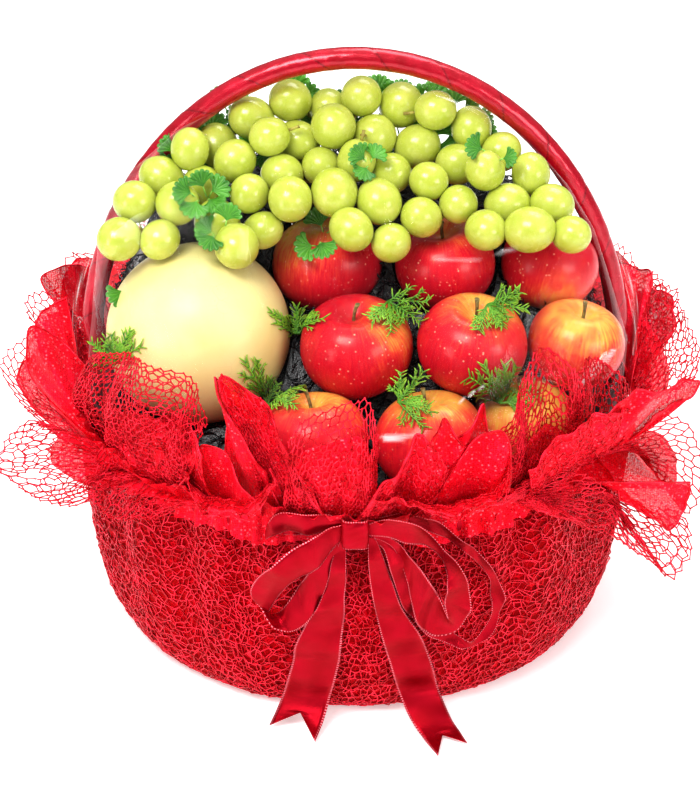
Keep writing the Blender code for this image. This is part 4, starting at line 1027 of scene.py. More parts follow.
def wrap_strands(pitch, seed, skew):
    """Honeycomb round the bowl, pulled askew by its folds: starts, ends and normals of its strands."""
    columns = 2 * round(math.pi * RIM_R * 2 / pitch)
    _, _, run = wrap_profile(8)
    rows = int(run / (pitch * math.sqrt(3) / 2))
    column, row, strands = honeycomb(columns, rows, True)
    fine_r, fine_z, _ = wrap_profile(600)
    rng = np.random.default_rng(seed)
    angle = 2 * np.pi * column / columns
    height = row / rows
    bend = 0.030 * np.sin(3.0 * angle + 1.0) + 0.014 * np.sin(11 * angle + 2.0) + 0.010 * np.sin(7 * angle)
    bend = bend * np.sin(np.pi * height * 0.9) * 2.2
    angle = angle + skew * bend + 0.006 * np.sin(23 * height + 9 * angle)
    sag = 0.016 * np.sin(17 * angle) * np.sin(np.pi * height) + 0.008 * np.sin(41 * angle + 6 * height)
    loose = pitch * 0.13
    angle = angle + rng.normal(0, loose / RIM_R, len(angle))
    share = np.clip(height + sag + rng.normal(0, loose / run, len(height)), 0, 1)
    shares = np.linspace(0, 1, len(fine_r))
    r, z = np.interp(share, shares, fine_r), np.interp(share, shares, fine_z)
    lift = NET_STRAND_R * 0.9 + np.abs(rng.normal(0, 0.0007, len(angle)))
    points = wrap_points(angle, r, z, lift)
    first, last = strands.T
    return points[first], points[last], unit((points * np.array([1, 1, 0.0]))[first])


def make_wrap_net(material):
    """Knitted net round the bowl, two layers askew to each other."""
    layers = [wrap_strands(NET_PITCH, 5, 1.0), wrap_strands(NET_PITCH * 1.35, 6, -1.5)]
    strands = (np.concatenate(parts) for parts in zip(*layers))
    net = strand_mesh("wrap_net", *strands, NET_STRAND_R, material)
    return net


def make_tie(material):
    """The satin band that ties the net round the rim, with small gathers."""
    columns, rows = 360, 7
    high = TIE_HIGH_Z - TIE_LOW_Z
    base = float(wall_radius(TIE_HIGH_Z)) + PLEAT_DEPTH * 0.4 + 0.0014
    angle = ring_angles(rows, columns)
    z = np.repeat(np.linspace(TIE_LOW_Z, TIE_HIGH_Z, rows), columns)
    belly = 1 - ((z - (TIE_LOW_Z + TIE_HIGH_Z) / 2) / high * 2) ** 2
    r = base + 0.0005 * belly + 0.0008 * np.sin(58 * angle + 40 * z) * np.sin(17 * angle)
    faces = grid_faces(rows, columns, True)
    tie = new_piece("tie_band", turned(r, angle, z), faces, material)
    give_uv(tie, (z - TIE_LOW_Z) / high, angle * base)
    thicken(tie, SATIN_T)
    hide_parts("tie_ribbon")
    return tie


# ---------------------------------------------------------------- the collar


class Petal:
    """A fan of cloth from the gathers at the rim to a free edge, arched, cupped and rippled. Its
    points are given by s, from one side to the other, and t, from its root to its free edge."""

    def __init__(self, row, balls):
        self.name, first, last, self.organza, pitch, arch, cup, self.folds, edge = row
        self.pitch = pitch / 1000
        self.edge, self.width = spline_line([(x / 1000, y / 1000, z / 1000) for x, y, z in edge])
        self.first, self.last = math.radians(first - 90), math.radians(last - 90)
        self.balls = balls
        root = self.root(np.linspace(0, 1, len(self.edge)))
        self.root_width = float(np.linalg.norm(root[-1] - root[0]))
        self.length = float(np.linalg.norm(self.edge - root, axis=1).mean())
        middle = len(self.edge) // 2
        normal = np.cross(self.edge[-1] - self.edge[0], self.edge[middle] - root[middle])
        normal = normal / np.linalg.norm(normal)
        outward = root[middle] * np.array([1, 1, 0]) / COLLAR_ROOT_R * 0.6 + np.array([0, -0.35, 0.5])
        self.normal = normal if normal @ outward > 0 else -normal
        self.arch, self.cup = arch * self.length, cup * min(self.width, WIDEST_CUP) * 0.5
        draw = random.Random(self.name)
        self.phase = [draw.uniform(0, 6.28) for _ in range(4)]

    def root(self, s):
        """Where the petal starts, on the ring round the rim."""
        angle = self.first + (self.last - self.first) * s
        return turned(COLLAR_ROOT_R, angle, np.full(len(s), COLLAR_ROOT_Z))

    def points(self, s, t, lift):
        """Points of the petal, lifted off it, clear of the fruit."""
        s, t = np.clip(s, 0, 1), np.clip(t, 0, 1.06)
        at = s * (len(self.edge) - 1)
        index = np.arange(len(self.edge))
        edge = np.stack([np.interp(at, index, self.edge[:, k]) for k in range(3)], axis=1)
        root = self.root(s)
        a, b, c, _ = self.phase
        turn = 2 * np.pi * self.folds
        wide = (self.root_width + (self.width - self.root_width) * t) / self.folds
        waves = 0.060 * np.sin(turn * s + a) * t + 0.024 * np.sin(2.3 * turn * s + b + 2 * t)
        waves += 0.006 * np.sin(5.3 * turn * s + c - 3 * t) * (1 - t)
        arch = self.arch * np.sin(np.pi * np.clip(t, 0, 1))
        cup = self.cup * (1 - (2 * s - 1) ** 2) * t
        out = arch + cup + waves * wide * np.clip(5 * t, 0, 1) + lift
        found = root + (edge - root) * t[:, None] + self.normal * out[:, None]
        return push_off(found, self.balls, 0.002)

    def net(self, lift, pitch, seed, start=0.10):
        """Honeycomb over the petal: its joints, and its strands as pairs of joints. A few joints
        are dropped for the wide holes, and loose ends are trimmed."""
        rng = np.random.default_rng(seed)
        columns = max(9, 2 * round(self.width / pitch) + 1)
        row_step = pitch * math.sqrt(3) / 2
        rows = max(5, int(self.length * (1 - start) / row_step) + 1)
        column, row, strands = honeycomb(columns, rows, False)
        s = column / (columns - 1) + rng.normal(0, pitch * 0.09 / self.width, len(column))
        s = s + 0.25 * pitch / self.width * np.sin(row * 0.9 + self.phase[0])
        t = start + (1 - start) * row / (rows - 1) + rng.normal(0, pitch * 0.07 / self.length, len(row))
        joints = self.points(s, t, lift)
        gone = (rng.random(len(s)) < HOLE_SHARE) & (t > 0.45) & (t < 0.93)
        a, b = strands.T
        long = np.linalg.norm(joints[a] - joints[b], axis=1) > pitch * LONGEST_STRAND
        kept = strands[~(gone[a] | gone[b] | long)]
        for _ in range(3):
            used = np.bincount(kept.ravel(), minlength=len(s))
            kept = kept[(used[kept] > 1).all(axis=1)]
        return joints, kept


def back_petal(number, azimuth, out, up):
    """A plain fan like those in front, as a row of their table."""
    edge = []
    for share in (k / 3 for k in range(-3, 4)):
        angle = math.radians(azimuth + 11 * share - 90)
        far = (COLLAR_ROOT_R + out * (1 - 0.30 * abs(share) ** 2)) * 1000
        high = (COLLAR_ROOT_Z + up * (1 - 0.45 * abs(share) ** 1.5)) * 1000
        edge.append((far * math.cos(angle), far * math.sin(angle), high))
    organza, pitch = (0.70, 7.8) if number % 2 else (0.92, 8.4)
    return (f"back_{number}", azimuth - 10, azimuth + 10, organza, pitch, 0.12, 0.12, 3, edge)


def collar_foot(columns=900, rows=11):
    """The low ruffle at the collar's root, gathered all round: it closes the gaps between petals,
    and hangs over the tie except behind the bow."""
    angle = ring_angles(rows, columns)
    t = np.repeat(np.linspace(-0.8, 1, rows), columns)
    top = 0.017 + 0.004 * np.sin(9 * angle) + 0.003 * np.sin(23 * angle + 1.0)
    gather = 0.0022 * np.sin(88 * angle + 1.3 * np.sin(7 * angle)) + 0.0012 * np.sin(151 * angle)
    from_bow = (angle - 1.5 * np.pi) / math.radians(13)
    free = np.where(t < 0, 1 - 0.85 * np.exp(-from_bow ** 2), 1.0)
    flare = np.where(t < 0, 0.0030, 0.010) * np.abs(t) ** 1.4
    r = COLLAR_ROOT_R + 0.0030 + (flare + gather * np.clip(3 * np.abs(t), 0, 1)) * free
    points = turned(r, angle, COLLAR_ROOT_Z - 0.001 + top * t)
    return points, grid_faces(rows, columns, True), grid_area(points.reshape(rows, columns, 3))


def make_organza(petals, material):
    """The petals' fine cloth as one piece, its area, and the length of the strip it is cut from."""
    columns, rows = 61, 25
    points, faces, area = collar_foot()
    points, faces, count = [points], [faces], len(points)
    strip = 2 * math.pi * COLLAR_ROOT_R * 1.3
    s = np.tile(np.linspace(0, 1, columns), rows)
    t = np.repeat(np.linspace(0, 1, rows), columns)
    for petal in petals:
        if not petal.organza:
            continue
        found = petal.points(s, t * petal.organza, -0.0006)
        faces.append(grid_faces(rows, columns) + count)
        points.append(found)
        count += len(found)
        grid = found.reshape(rows, columns, 3)
        area += grid_area(grid)
        strip += float(np.linalg.norm(np.diff(grid[-1], axis=0), axis=1).sum())
    points, faces = np.concatenate(points), np.concatenate(faces)
    return new_piece("collar_organza", points, faces, material), area, strip


def make_hems(petals, material):
    """The turned edges of the organza: a bead up each side and along the free edge."""
    share, zero, one = np.linspace(0, 1, HEM_BARS + 1), np.zeros(HEM_BARS + 1), np.ones(HEM_BARS + 1)
    parts = []
    for petal in petals:
        if petal.organza < 0.8:
            continue
        for s, t in ((zero, share), (one, share), (share, one)):
            line = petal.points(s, t * petal.organza, -0.0002)
            parts.append((line[:-1], line[1:], np.tile(petal.normal, (HEM_BARS, 1))))
    lines = (np.concatenate(part) for part in zip(*parts))
    return strand_mesh("collar_hems", *lines, HEM_R, material, sides=4)


def make_petal_nets(name, petals, material, seed):
    """The open net of some petals: one layer over each, and a second behind where it is bare."""
    parts = []
    for petal in petals:
        if not petal.pitch:
            continue
        layers = [(0.0006, petal.pitch)]
        if petal.organza < 0.6:
            layers.append((-0.0035, petal.pitch * 0.84))
        for lift, pitch in layers:
            seed += 1
            joints, strands = petal.net(lift, pitch, seed)
            parts.append((joints[strands[:, 0]], joints[strands[:, 1]],
                          np.tile(petal.normal, (len(strands), 1)), joints[np.unique(strands)]))
    *lines, knots = (np.concatenate(part) for part in zip(*parts))
    return strand_mesh(name, *lines, COLLAR_STRAND_R, material, knots)


def make_collar(strand, organza, balls):
    """The collar: organza petals with hems, and open net over and behind them."""
    balls = [(np.array(place), radius) for place, radius in balls]
    front = [Petal(row, balls) for row in PETALS]
    back = [Petal(back_petal(number, *row), []) for number, row in enumerate(BACK_PETALS)]
    on_left = [petal.edge[:, 0].mean() < COLLAR_SPLIT_X for petal in front]
    cloth, area, strip = make_organza(front + back, organza)
    others = [make_hems(front + back, strand)]
    for name, petals, seed in (("left", [p for p, left in zip(front, on_left) if left], 100),
                               ("right", [p for p, left in zip(front, on_left) if not left], 200),
                               ("back", back, 300)):
        others.append(make_petal_nets("collar_net_" + name, petals, strand, seed))
    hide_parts("net_collar", "net_flap")
    return [cloth, *others]


# ---------------------------------------------------------------- the bow and the handle


def ribbon_piece(name, first, second, material, notch, cup, across=11):
    """A satin band between two edge lines, a little cupped, its far end cut to a swallowtail."""
    last = len(first) - 1
    run = 0.0
    points, u, v = [], [], []
    middles = [(a + b) / 2 for a, b in zip(first, second)]
    for k, (a, b) in enumerate(zip(first, second)):
        ahead = (middles[min(k + 1, last)] - middles[max(k - 1, 0)]).normalized()
        face = ahead.cross(b - a)
        if k:
            run += (middles[k] - middles[k - 1]).length
        near_end = max(0.0, 1 - (last - k) / 12) if notch else 0.0
        for share in np.linspace(0, 1, across):
            place = a.lerp(b, share) + face * cup * 4 * share * (1 - share)
            points.append(place - ahead * notch * near_end * (1 - abs(2 * share - 1)))
            u.append(share)
            v.append(run)
    ribbon = new_piece(name, points, grid_faces(last + 1, across), material)
    give_uv(ribbon, u, v)
    thicken(ribbon, SATIN_T)
    return ribbon, run


def make_knot(material):
    """The band wrapped over the middle of the bow: softly square, with pressed wrinkles."""
    middle = wall_place(0.0, BOW_Z, 0.0100)
    half_w, half_d, half_h = 0.0096, 0.0066, 0.0112
    sides, rows = 48, 15
    angle = ring_angles(rows, sides)
    t = np.repeat(np.linspace(-1, 1, rows), sides)
    c, s = np.cos(angle), np.sin(angle)
    square = (np.abs(c) ** 4 + np.abs(s) ** 4) ** -0.25
    pinch = 1 - 0.10 * np.abs(t) ** 3 - 0.02 * np.sin(9 * t + 2 * c)
    crease = 1 + 0.03 * np.sin(14 * t + 3 * np.sin(2 * angle)) - 0.25 * np.abs(t) ** 3
    shape = [half_w * square * c * pinch, half_d * square * s * crease, half_h * t]
    points = np.stack(shape, axis=1) + np.array(middle)
    knot = new_piece("satin_bow", points, grid_faces(rows, sides, True), material)
    give_uv(knot, 0.5 + 0.5 * t, np.tile(np.arange(sides) * 0.0012, rows))
    thicken(knot, KNOT_T, -1.0)
    return knot


def make_bow(material):
    """The bow: its knot, four loops and two tails, joined as one piece of satin. Its bands billow
    along their run and twist a little, and the tails lie still where they touch the floor."""
    pieces, length = [make_knot(material)], KNOT_BAND
    for name, rows in BANDS.items():
        tail = name.startswith("tail")
        swell, cup, notch = (0.0016, 0.04, 0.017) if tail else (0.0019, 0.08, 0.0)
        phase = random.Random(name).uniform(0, 6.28)
        edges = []
        for side, start in ((-1, 0), (1, 3)):
            stops = [wall_place(*(value / 1000 for value in row[start:start + 3])) for row in rows]
            line, run = smooth_line(stops, 10), 0.0
            for k, place in enumerate(line):
                if k:
                    run += (place - line[k - 1]).length
                outward = Vector((place.x, place.y, 0.0)).normalized()
                held = min(k / BILLOW_FADE, 1.0) * min(max(place.z - 0.012, 0.0) / 0.02, 1.0)
                held *= 1.0 if tail else min((len(line) - 1 - k) / BILLOW_FADE, 1.0)
                billow = math.sin(150 * run + phase) + 0.9 * side * math.sin(62 * run + 2 * phase)
                line[k] = place + outward * swell * held * billow
            edges.append(line)
        piece, run = ribbon_piece(name, *edges, material, notch, cup)
        pieces.append(piece)
        length += run
    bow = joined(pieces)
    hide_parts("bow")
    return bow


def make_handle(material):
    """The hoop with ribbon wound round it: each turn laps the last, so its edge stands proud."""
    line = smooth_line(handle_line(), 24)
    sides, pitch = 32, 0.046
    radius = HOOP_TUBE_R * 0.985
    points, u, v, creases = [], [], [], []
    run = 0.0
    last = len(line) - 1
    for k, place in enumerate(line):
        if k:
            run += (place - line[k - 1]).length
        ahead = (line[min(k + 1, last)] - line[max(k - 1, 0)]).normalized()
        across = Vector((0, 1, 0)).cross(ahead)
        for side in range(sides):
            angle = 2 * math.pi * side / sides
            turn = (run / pitch - side / sides + 0.03 * math.sin(run * 61)) % 1.0
            lap = 0.026 * (1 - turn) ** 1.5 + 0.008 * math.sin(run * 410 + 3 * angle)
            r = radius * (1 + lap)
            points.append(place + across * r * math.cos(angle) + Vector((0, r * math.sin(angle), 0)))
            u.append(side / sides)
            v.append(run)
            # Painted shade: how dark the crease just before each lap edge is painted
            creases.append(min(max((turn - 0.955) / 0.03, 0.0), 1.0) * 0.8)
    faces = grid_faces(last + 1, sides, True)
    handle = new_piece("wound_handle", points, faces, material)
    close_ends(handle, pointed=False)
    give_uv(handle, u, v)
    give_value(handle, "lap", creases)
    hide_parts("handle")
    return handle


# ---------------------------------------------------------------- fruit


def make_melon(material):
    """A round honeydew melon, a shade uneven, with the small scar of its stalk."""
    rings, segments = 48, 72
    rng = random.Random(2)
    lobes = [(rng.uniform(2, 5), rng.uniform(0, 6), rng.uniform(0.5, 2.5)) for _ in range(4)]
    lift, turn = ball_angles(rings, segments)
    uneven = sum(np.sin(a * turn + b) * np.sin(c * lift) for a, b, c in lobes) * 0.002
    scar = -0.035 * np.exp(-((np.pi / 2 - lift) / 0.12) ** 2)
    r = MELON_R * (0.996 + uneven + scar)
    points = turned(r * np.cos(lift), turn, r * 0.985 * np.sin(lift))
    faces = grid_faces(rings - 1, segments, True)
    melon = new_piece("honeydew", points, faces, material)
    close_ends(melon, pointed=True)
    melon.location = slope_point(*MELON_AT)
    melon.rotation_euler = Euler((math.radians(-38), math.radians(-10), 0.4))
    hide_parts("melon")
    return melon


def make_apple(row, skin, stalk):
    """An apple with a dimple, five low ribs round its eye, and a yellow cheek in its red flush."""
    name, across, up, off, radius, lean, cheek, yellow, spread = row
    draw = random.Random(name)
    rings, segments = 44, 64
    bend = [draw.uniform(0, 6.28) for _ in range(3)]
    lift, turn = ball_angles(rings, segments)
    wide, high = np.cos(lift), np.sin(lift)
    base_r = radius * np.abs(wide) ** 0.86 * (0.985 + 0.03 * high)
    ribs = 0.014 * np.cos(5 * turn + bend[0]) * (0.35 - 0.65 * high)
    lobes = 0.010 * np.sin(2 * turn + bend[1]) + 0.007 * np.sin(3 * turn + bend[2])
    dimple = -radius * 0.30 * np.exp(-((base_r / (0.30 * radius)) ** 2))
    eye = radius * 0.20 * np.exp(-((base_r / (0.28 * radius)) ** 2))
    tilt = 0.03 * radius * np.sin(turn + bend[1]) * wide * np.maximum(high, 0)
    z = radius * APPLE_TALL * high + np.where(lift > 0, dimple, eye) + tilt
    points = turned(base_r * (0.99 + ribs + lobes), turn, z)
    faces = grid_faces(rings - 1, segments, True)
    apple = new_piece(name + "_fruit", points, faces, skin)
    close_ends(apple, pointed=True)
    rotation = Euler([math.radians(a) for a in lean])
    facing = (SLOPE_TURN @ Vector(cheek)).normalized()
    flush = []
    for vertex in apple.data.vertices:
        towards = (rotation.to_matrix() @ vertex.co).normalized().dot(facing)
        flush.append(0.80 - 0.74 * yellow * math.exp(-((1 - towards) / (0.62 * spread)) ** 1.4))
    give_value(apple, "flush", flush)
    add_apple_stalk(apple, radius, stalk, draw)
    apple.location = slope_point(across, up, off)
    apple.rotation_euler = rotation
    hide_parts(name)
    return apple


def add_apple_stalk(apple, radius, material, draw):
    """Adds the woody stalk to the apple's own mesh, thicker at its cut end."""
    apple.data.materials.append(material)
    foot = radius * (APPLE_TALL - 0.30) - 0.002
    tip = radius * (APPLE_TALL + 0.10)
    lean = Vector((draw.uniform(-1, 1), draw.uniform(-1, 1), 0)) * 0.0035
    rings, sides = 7, 8
    with reshaped(apple) as shape:
        corners = []
        for k in range(rings):
            t = k / (rings - 1)
            centre = Vector((0, 0, foot + (tip - foot) * t)) + lean * t * t
            wide = 0.0011 + 0.0008 * t ** 4 + 0.0005 * (1 - t) ** 3
            angles = (2 * math.pi * s / sides for s in range(sides))
            corners.append([shape.verts.new(centre + Vector((math.cos(a), math.sin(a), 0)) * wide)
                            for a in angles])
        for low, high in zip(corners, corners[1:]):
            for s in range(sides):
                after = (s + 1) % sides
                face = shape.faces.new((low[s], low[after], high[after], high[s]))
                face.material_index = 1
                face.smooth = True
        for end in (corners[-1], corners[0][::-1]):
            shape.faces.new(end).material_index = 1


def bunch_of(degrees):
    """The bunch that a grape belongs to, by where round the garland it grows."""
    return next(name for name, end in BUNCHES if degrees <= end)


def low_edge(across):
    """How far up the slope the garland's lower edge lies at a place across."""
    return float(np.interp(across, *zip(*GARLAND_LOW)))


def garland_seeds():
    """Grapes on arcs round the garland's centre, row by row inwards, each a little out of line."""
    draw = random.Random(7)
    seeds = []
    for row in range(6):
        ring = GARLAND_R - row * GRAPE_PITCH * 0.98
        step = math.degrees(GRAPE_PITCH * 1.06 / ring)
        degrees = GARLAND_ENDS[0] + (0.5 * step if row % 2 else 0.0)
        while degrees <= GARLAND_ENDS[1]:
            angle = math.radians(degrees)
            across = GARLAND_CENTRE[0] + ring * math.cos(angle) + draw.uniform(-1, 1) * 0.003
            up = GARLAND_CENTRE[1] + ring * math.sin(angle) + draw.uniform(-1, 1) * 0.003
            if up > low_edge(across):
                sunk = 0.022 * max(0.0, min((up - 0.20) / 0.09, 1.0))
                off = -0.006 - sunk + draw.uniform(-1, 1) * 0.005
                radius = GRAPE_R * draw.uniform(0.88, 1.1)
                seeds.append((slope_point(across, up, off), radius, bunch_of(degrees)))
            degrees += step
    return seeds


def settle_grapes(seeds, obstacles, rounds=90):
    """Pushes grapes apart, and off the other fruit and the hoop, a little at a time."""
    places = np.array([place for place, _, _ in seeds])
    home = places.copy()
    radii = np.array([radius for _, radius, _ in seeds])
    bunch = np.array([name for _, _, name in seeds])
    same = bunch[:, None] == bunch[None, :]
    apart = radii[:, None] + radii[None, :] + np.where(same, -0.0004, 0.0012)
    hoop = np.array([hoop_point(math.pi * k / 90) for k in range(91)])
    for turn in range(rounds):
        if turn < rounds * 0.6:
            places += (home - places) * 0.04
        between = places[:, None] - places[None, :]
        far = np.linalg.norm(between, axis=2) + np.eye(len(places))
        push = np.clip(apart - far, 0, None) * (1 - np.eye(len(places)))
        places += (between / far[..., None] * push[..., None]).sum(axis=1) * 0.5
        for centre, size in obstacles:
            away = places - np.array(centre)
            length = np.linalg.norm(away, axis=1)
            short = np.clip(size + radii + 0.0008 - length, 0, None)
            places += away / length[:, None] * short[:, None]
        away = places[:, None] - hoop[None, :]
        length = np.linalg.norm(away, axis=2)
        nearest = length.argmin(axis=1)
        index = np.arange(len(places))
        short = np.clip(radii + HOOP_TUBE_R + 0.004 - length[index, nearest], 0, None)
        places += away[index, nearest] / length[index, nearest][:, None] * short[:, None]
    return [(Vector(place), radius, name) for place, (_, radius, name) in zip(places, seeds)]


def stem_links(centres):
    """The shortest set of links that joins a bunch's grapes, as pairs of their numbers."""
    joined, links = {0}, []
    while len(joined) < len(centres):
        pairs = [(i, j) for i in joined for j in range(len(centres)) if j not in joined]
        best = min(pairs, key=lambda pair: (centres[pair[0]] - centres[pair[1]]).length)
        links.append(best)
        joined.add(best[1])
    return links


def grape_points(draw, radius, rings, segments):
    """The skin of one grape about its own middle, its stalk end up."""
    tall, dent = draw.uniform(1.02, 1.15), draw.uniform(0.03, 0.06)
    lift, turn = ball_angles(rings, segments, poles=True)
    stalk_end = dent * np.exp(-((np.pi / 2 - lift) / 0.25) ** 2)
    blossom_end = 0.015 * np.exp(-((np.pi / 2 + lift) / 0.12) ** 2)
    r = radius * np.cos(lift) * (1 + 0.012 * np.sin(2 * turn + tall * 40))
    return turned(r, turn, radius * (tall * np.sin(lift) - stalk_end + blossom_end))


def make_bunch(name, grapes, skin, stalk):
    """A bunch: its grapes as one mesh, and the stalks between them as another."""
    draw = random.Random(name)
    rings, segments = 18, 28
    own = [(place, radius) for place, radius, bunch in grapes if bunch == name]
    centres = [place for place, _ in own]
    middle = sum(centres, Vector()) / len(centres)
    facing = SLOPE_TURN @ Vector((0, 0, 1))
    points, low, faces, stalks = [], [], [], []
    one = grid_faces(rings + 1, segments, True)
    for place, radius in own:
        inwards = (middle - place) * 0.4 - facing * 0.012
        inwards += Vector([draw.uniform(-1, 1) for _ in range(3)]) * 0.016
        inwards.normalize()
        turn = inwards.to_track_quat("Z", "Y").to_matrix()
        local = grape_points(draw, radius, rings, segments)
        faces.append(one + len(points) * len(local))
        ball = local @ np.array(turn).T
        points.append(ball + np.array(place))
        # Painted light: more of the deep glowing, shaded colour on each grape's lower side and on the
        # grapes lower down
        low.append(np.clip(0.5 + (0.235 - place.z) * 9 - 0.42 * ball[:, 2] / radius, 0, 1))
        top = place + turn @ Vector((0, 0, radius * 0.9))
        stalks.append((top, top + inwards * 0.010, 0.0010, 0.0013))
    points, faces = np.concatenate(points), np.concatenate(faces)
    bunch = new_piece(name + "_fruit", points, faces, skin)
    give_value(bunch, "low", np.concatenate(low))
    weld(bunch)
    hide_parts(name)
    sunk = facing * 0.003
    stalks += [(centres[i] - sunk, centres[j] - sunk, 0.0014, 0.0014) for i, j in stem_links(centres)]
    return [bunch, bars(name + "_stalks", stalks, stalk)]


# ---------------------------------------------------------------- leaves, sprigs and shreds


class Fruit:
    """The round fruit, as balls in slope coordinates, to lay leaves over."""

    def __init__(self, balls):
        self.balls = np.array([(*to_slope(np.array([place]))[0], radius) for place, radius in balls])

    def clear(self, points, gap):
        """Raises points off the slope until they lie clear of the fruit below them."""
        found = points.copy()
        for a, b, c, radius in self.balls:
            aside = (found[:, 0] - a) ** 2 + (found[:, 1] - b) ** 2
            top = c + np.sqrt(np.maximum(radius * radius - aside, 0)) + gap
            under = (aside < radius * radius) & (found[:, 2] < top)
            found[:, 2] = np.where(under, top, found[:, 2])
        return found

    def top(self, across, up, low):
        """How far off the slope the fruit reaches at a place, or a lower limit where it is bare."""
        return float(self.clear(np.array([[across, up, low]]), 0.0)[0, 2])


def leaflet(size, heading, lift, draw):
    """A fan-shaped leaflet with round teeth: points about its stalk, its ribs, and its faces."""
    teeth, rows = 7, 8
    spokes = teeth * 6 + 1
    points, ribs = [], []
    half = math.radians(draw.uniform(66, 80))
    curl = draw.uniform(-0.1, 0.3)
    for i in range(spokes):
        t = -1 + 2 * i / (spokes - 1)
        tooth = abs(math.sin(math.pi * i / 6)) ** 0.6
        reach = size * (0.82 - 0.12 * t * t + 0.15 * tooth)
        for j in range(rows):
            s = j / (rows - 1)
            angle = heading + half * t * (0.62 + 0.38 * s)
            groove = math.cos(2 * math.pi * i / 6)
            z = size * (lift * s + 0.03 * s * groove + curl * (t * s) ** 2)
            points.append((reach * s * math.cos(angle), reach * s * math.sin(angle), z))
            ribs.append(max(0.0, -groove) ** 8 * (1 - 0.8 * s) * 0.7)
    return np.array(points), ribs, grid_faces(spokes, rows)


def make_parsley(material, fruit):
    """Cut leaves among the grapes: some lie on them, and the rest stand up from behind."""
    draw = random.Random(31)
    points, ribs, faces, stalks = [], [], [], []
    count = 0
    for across, up, size, turn, leaves, low in PARSLEY:
        lying = low is None
        if lying:
            low = fruit.top(across, up, -0.030) + 0.002
        foot = np.array([across, up, low])
        for leaf in range(leaves):
            heading = math.radians(turn + 88 * (leaf - (leaves - 1) / 2) + draw.uniform(-10, 10))
            start = foot + 0.30 * size * np.array([math.cos(heading), math.sin(heading), 0.3])
            reach, lift = size * draw.uniform(0.82, 0.98), draw.uniform(0.1, 0.4)
            local, rib, quads = leaflet(reach, heading, lift, draw)
            placed = local + start
            if lying:
                short = (fruit.clear(placed, 0.0018) - placed)[:, 2].max()
                placed[:, 2] += min(short, LEAF_LIFT)
                start = placed[0]
            points.append(placed)
            ribs += rib
            faces.append(quads + count)
            count += len(local)
            ends = from_slope(np.stack([foot - [0, 0, 0.006], start]))
            stalks.append((Vector(ends[0]), Vector(ends[1]), 0.0007, 0.0005))
    points, faces = from_slope(np.concatenate(points)), np.concatenate(faces)
    leaves = new_piece("parsley", points, faces, material)
    give_value(leaves, "rib", ribs)
    weld(leaves)
    thicken(leaves, LEAF_T)
    stems = bars("parsley_stalks", stalks, material, 5)
    give_value(stems, "rib", [1.0] * len(stems.data.vertices))
    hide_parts(*[f"parsley_{k:02d}" for k in range(1, PARSLEY_NODES + 1)])
    return [leaves, stems]


def frond_bars(origin, heading, lift, length, draw, rows, depth=0):
    """A feathery branch: a stem with shoots each side, which branch once more, as bars."""
    steps, thick, smaller = (8, 0.00090, 1.0) if depth == 0 else (4, 0.00078, 0.8)
    place = np.array(origin, float)
    sway = draw.uniform(-0.25, 0.25)
    for k in range(steps):
        t = k / steps
        turn = heading + sway * t
        ahead = np.array([math.cos(turn), math.sin(turn), lift * (1 - 1.4 * t)])
        after = place + ahead * length / steps
        wide = thick * (1 - 0.3 * t)
        rows.append((*place, *after, wide, wide * 0.9, t))
        if depth < 2 and k:
            for side in (-1, 1):
                angle = turn + side * math.radians(draw.uniform(22, 66))
                short = length * (0.48 - 0.28 * t) * draw.uniform(0.35, 1.2) * smaller
                if short > SHORTEST_SHOOT:
                    rise = lift + draw.uniform(-0.3, 0.6)
                    frond_bars(after, angle, rise, short, draw, rows, depth + 1)
        place = after


def make_sprigs(material, fruit):
    """Conifer sprigs in the gaps between the apples, each a fan of feathery fronds."""
    draw = random.Random(17)
    fronds, sides = 8, 3
    rows = []
    for across, up, length, turn in SPRIGS:
        low = fruit.top(across, up, -0.050) - 0.003
        back, facing = length * 0.42, math.radians(turn)
        start = (across - back * math.cos(facing), up - back * math.sin(facing), low)
        for frond in range(fronds):
            heading = facing + math.radians((frond - (fronds - 1) / 2) * 22 + draw.uniform(-18, 18))
            lift, reach = draw.uniform(0.15, 0.55), length * draw.uniform(0.45, 0.88)
            frond_bars(start, heading, lift, reach, draw, rows)
    rows = np.array(rows)
    starts, ends = (from_slope(fruit.clear(rows[:, k:k + 3], 0.0012)) for k in (0, 3))
    r_start, r_end, tip = rows[:, 6:7], rows[:, 7:8], rows[:, 8]
    corners, bar = bar_sides(starts, ends, [0.31, 0.52, 0.79], (r_start, r_end), sides)
    corners.append(ends + unit(ends - starts) * r_end * 2.5)
    bar += [(sides + k, sides + (k + 1) % sides, 2 * sides) for k in range(sides)]
    faces = repeated(bar, len(rows), len(corners))
    points = np.stack(corners, axis=1)
    sprigs = new_piece("conifer_sprigs", points, faces, material)
    give_value(sprigs, "tip", np.clip(np.repeat(tip, len(corners)) * 0.9, 0, 1))
    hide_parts(*[f"sprig_{k:02d}" for k in range(1, len(SPRIGS) + 1)])
    return sprigs


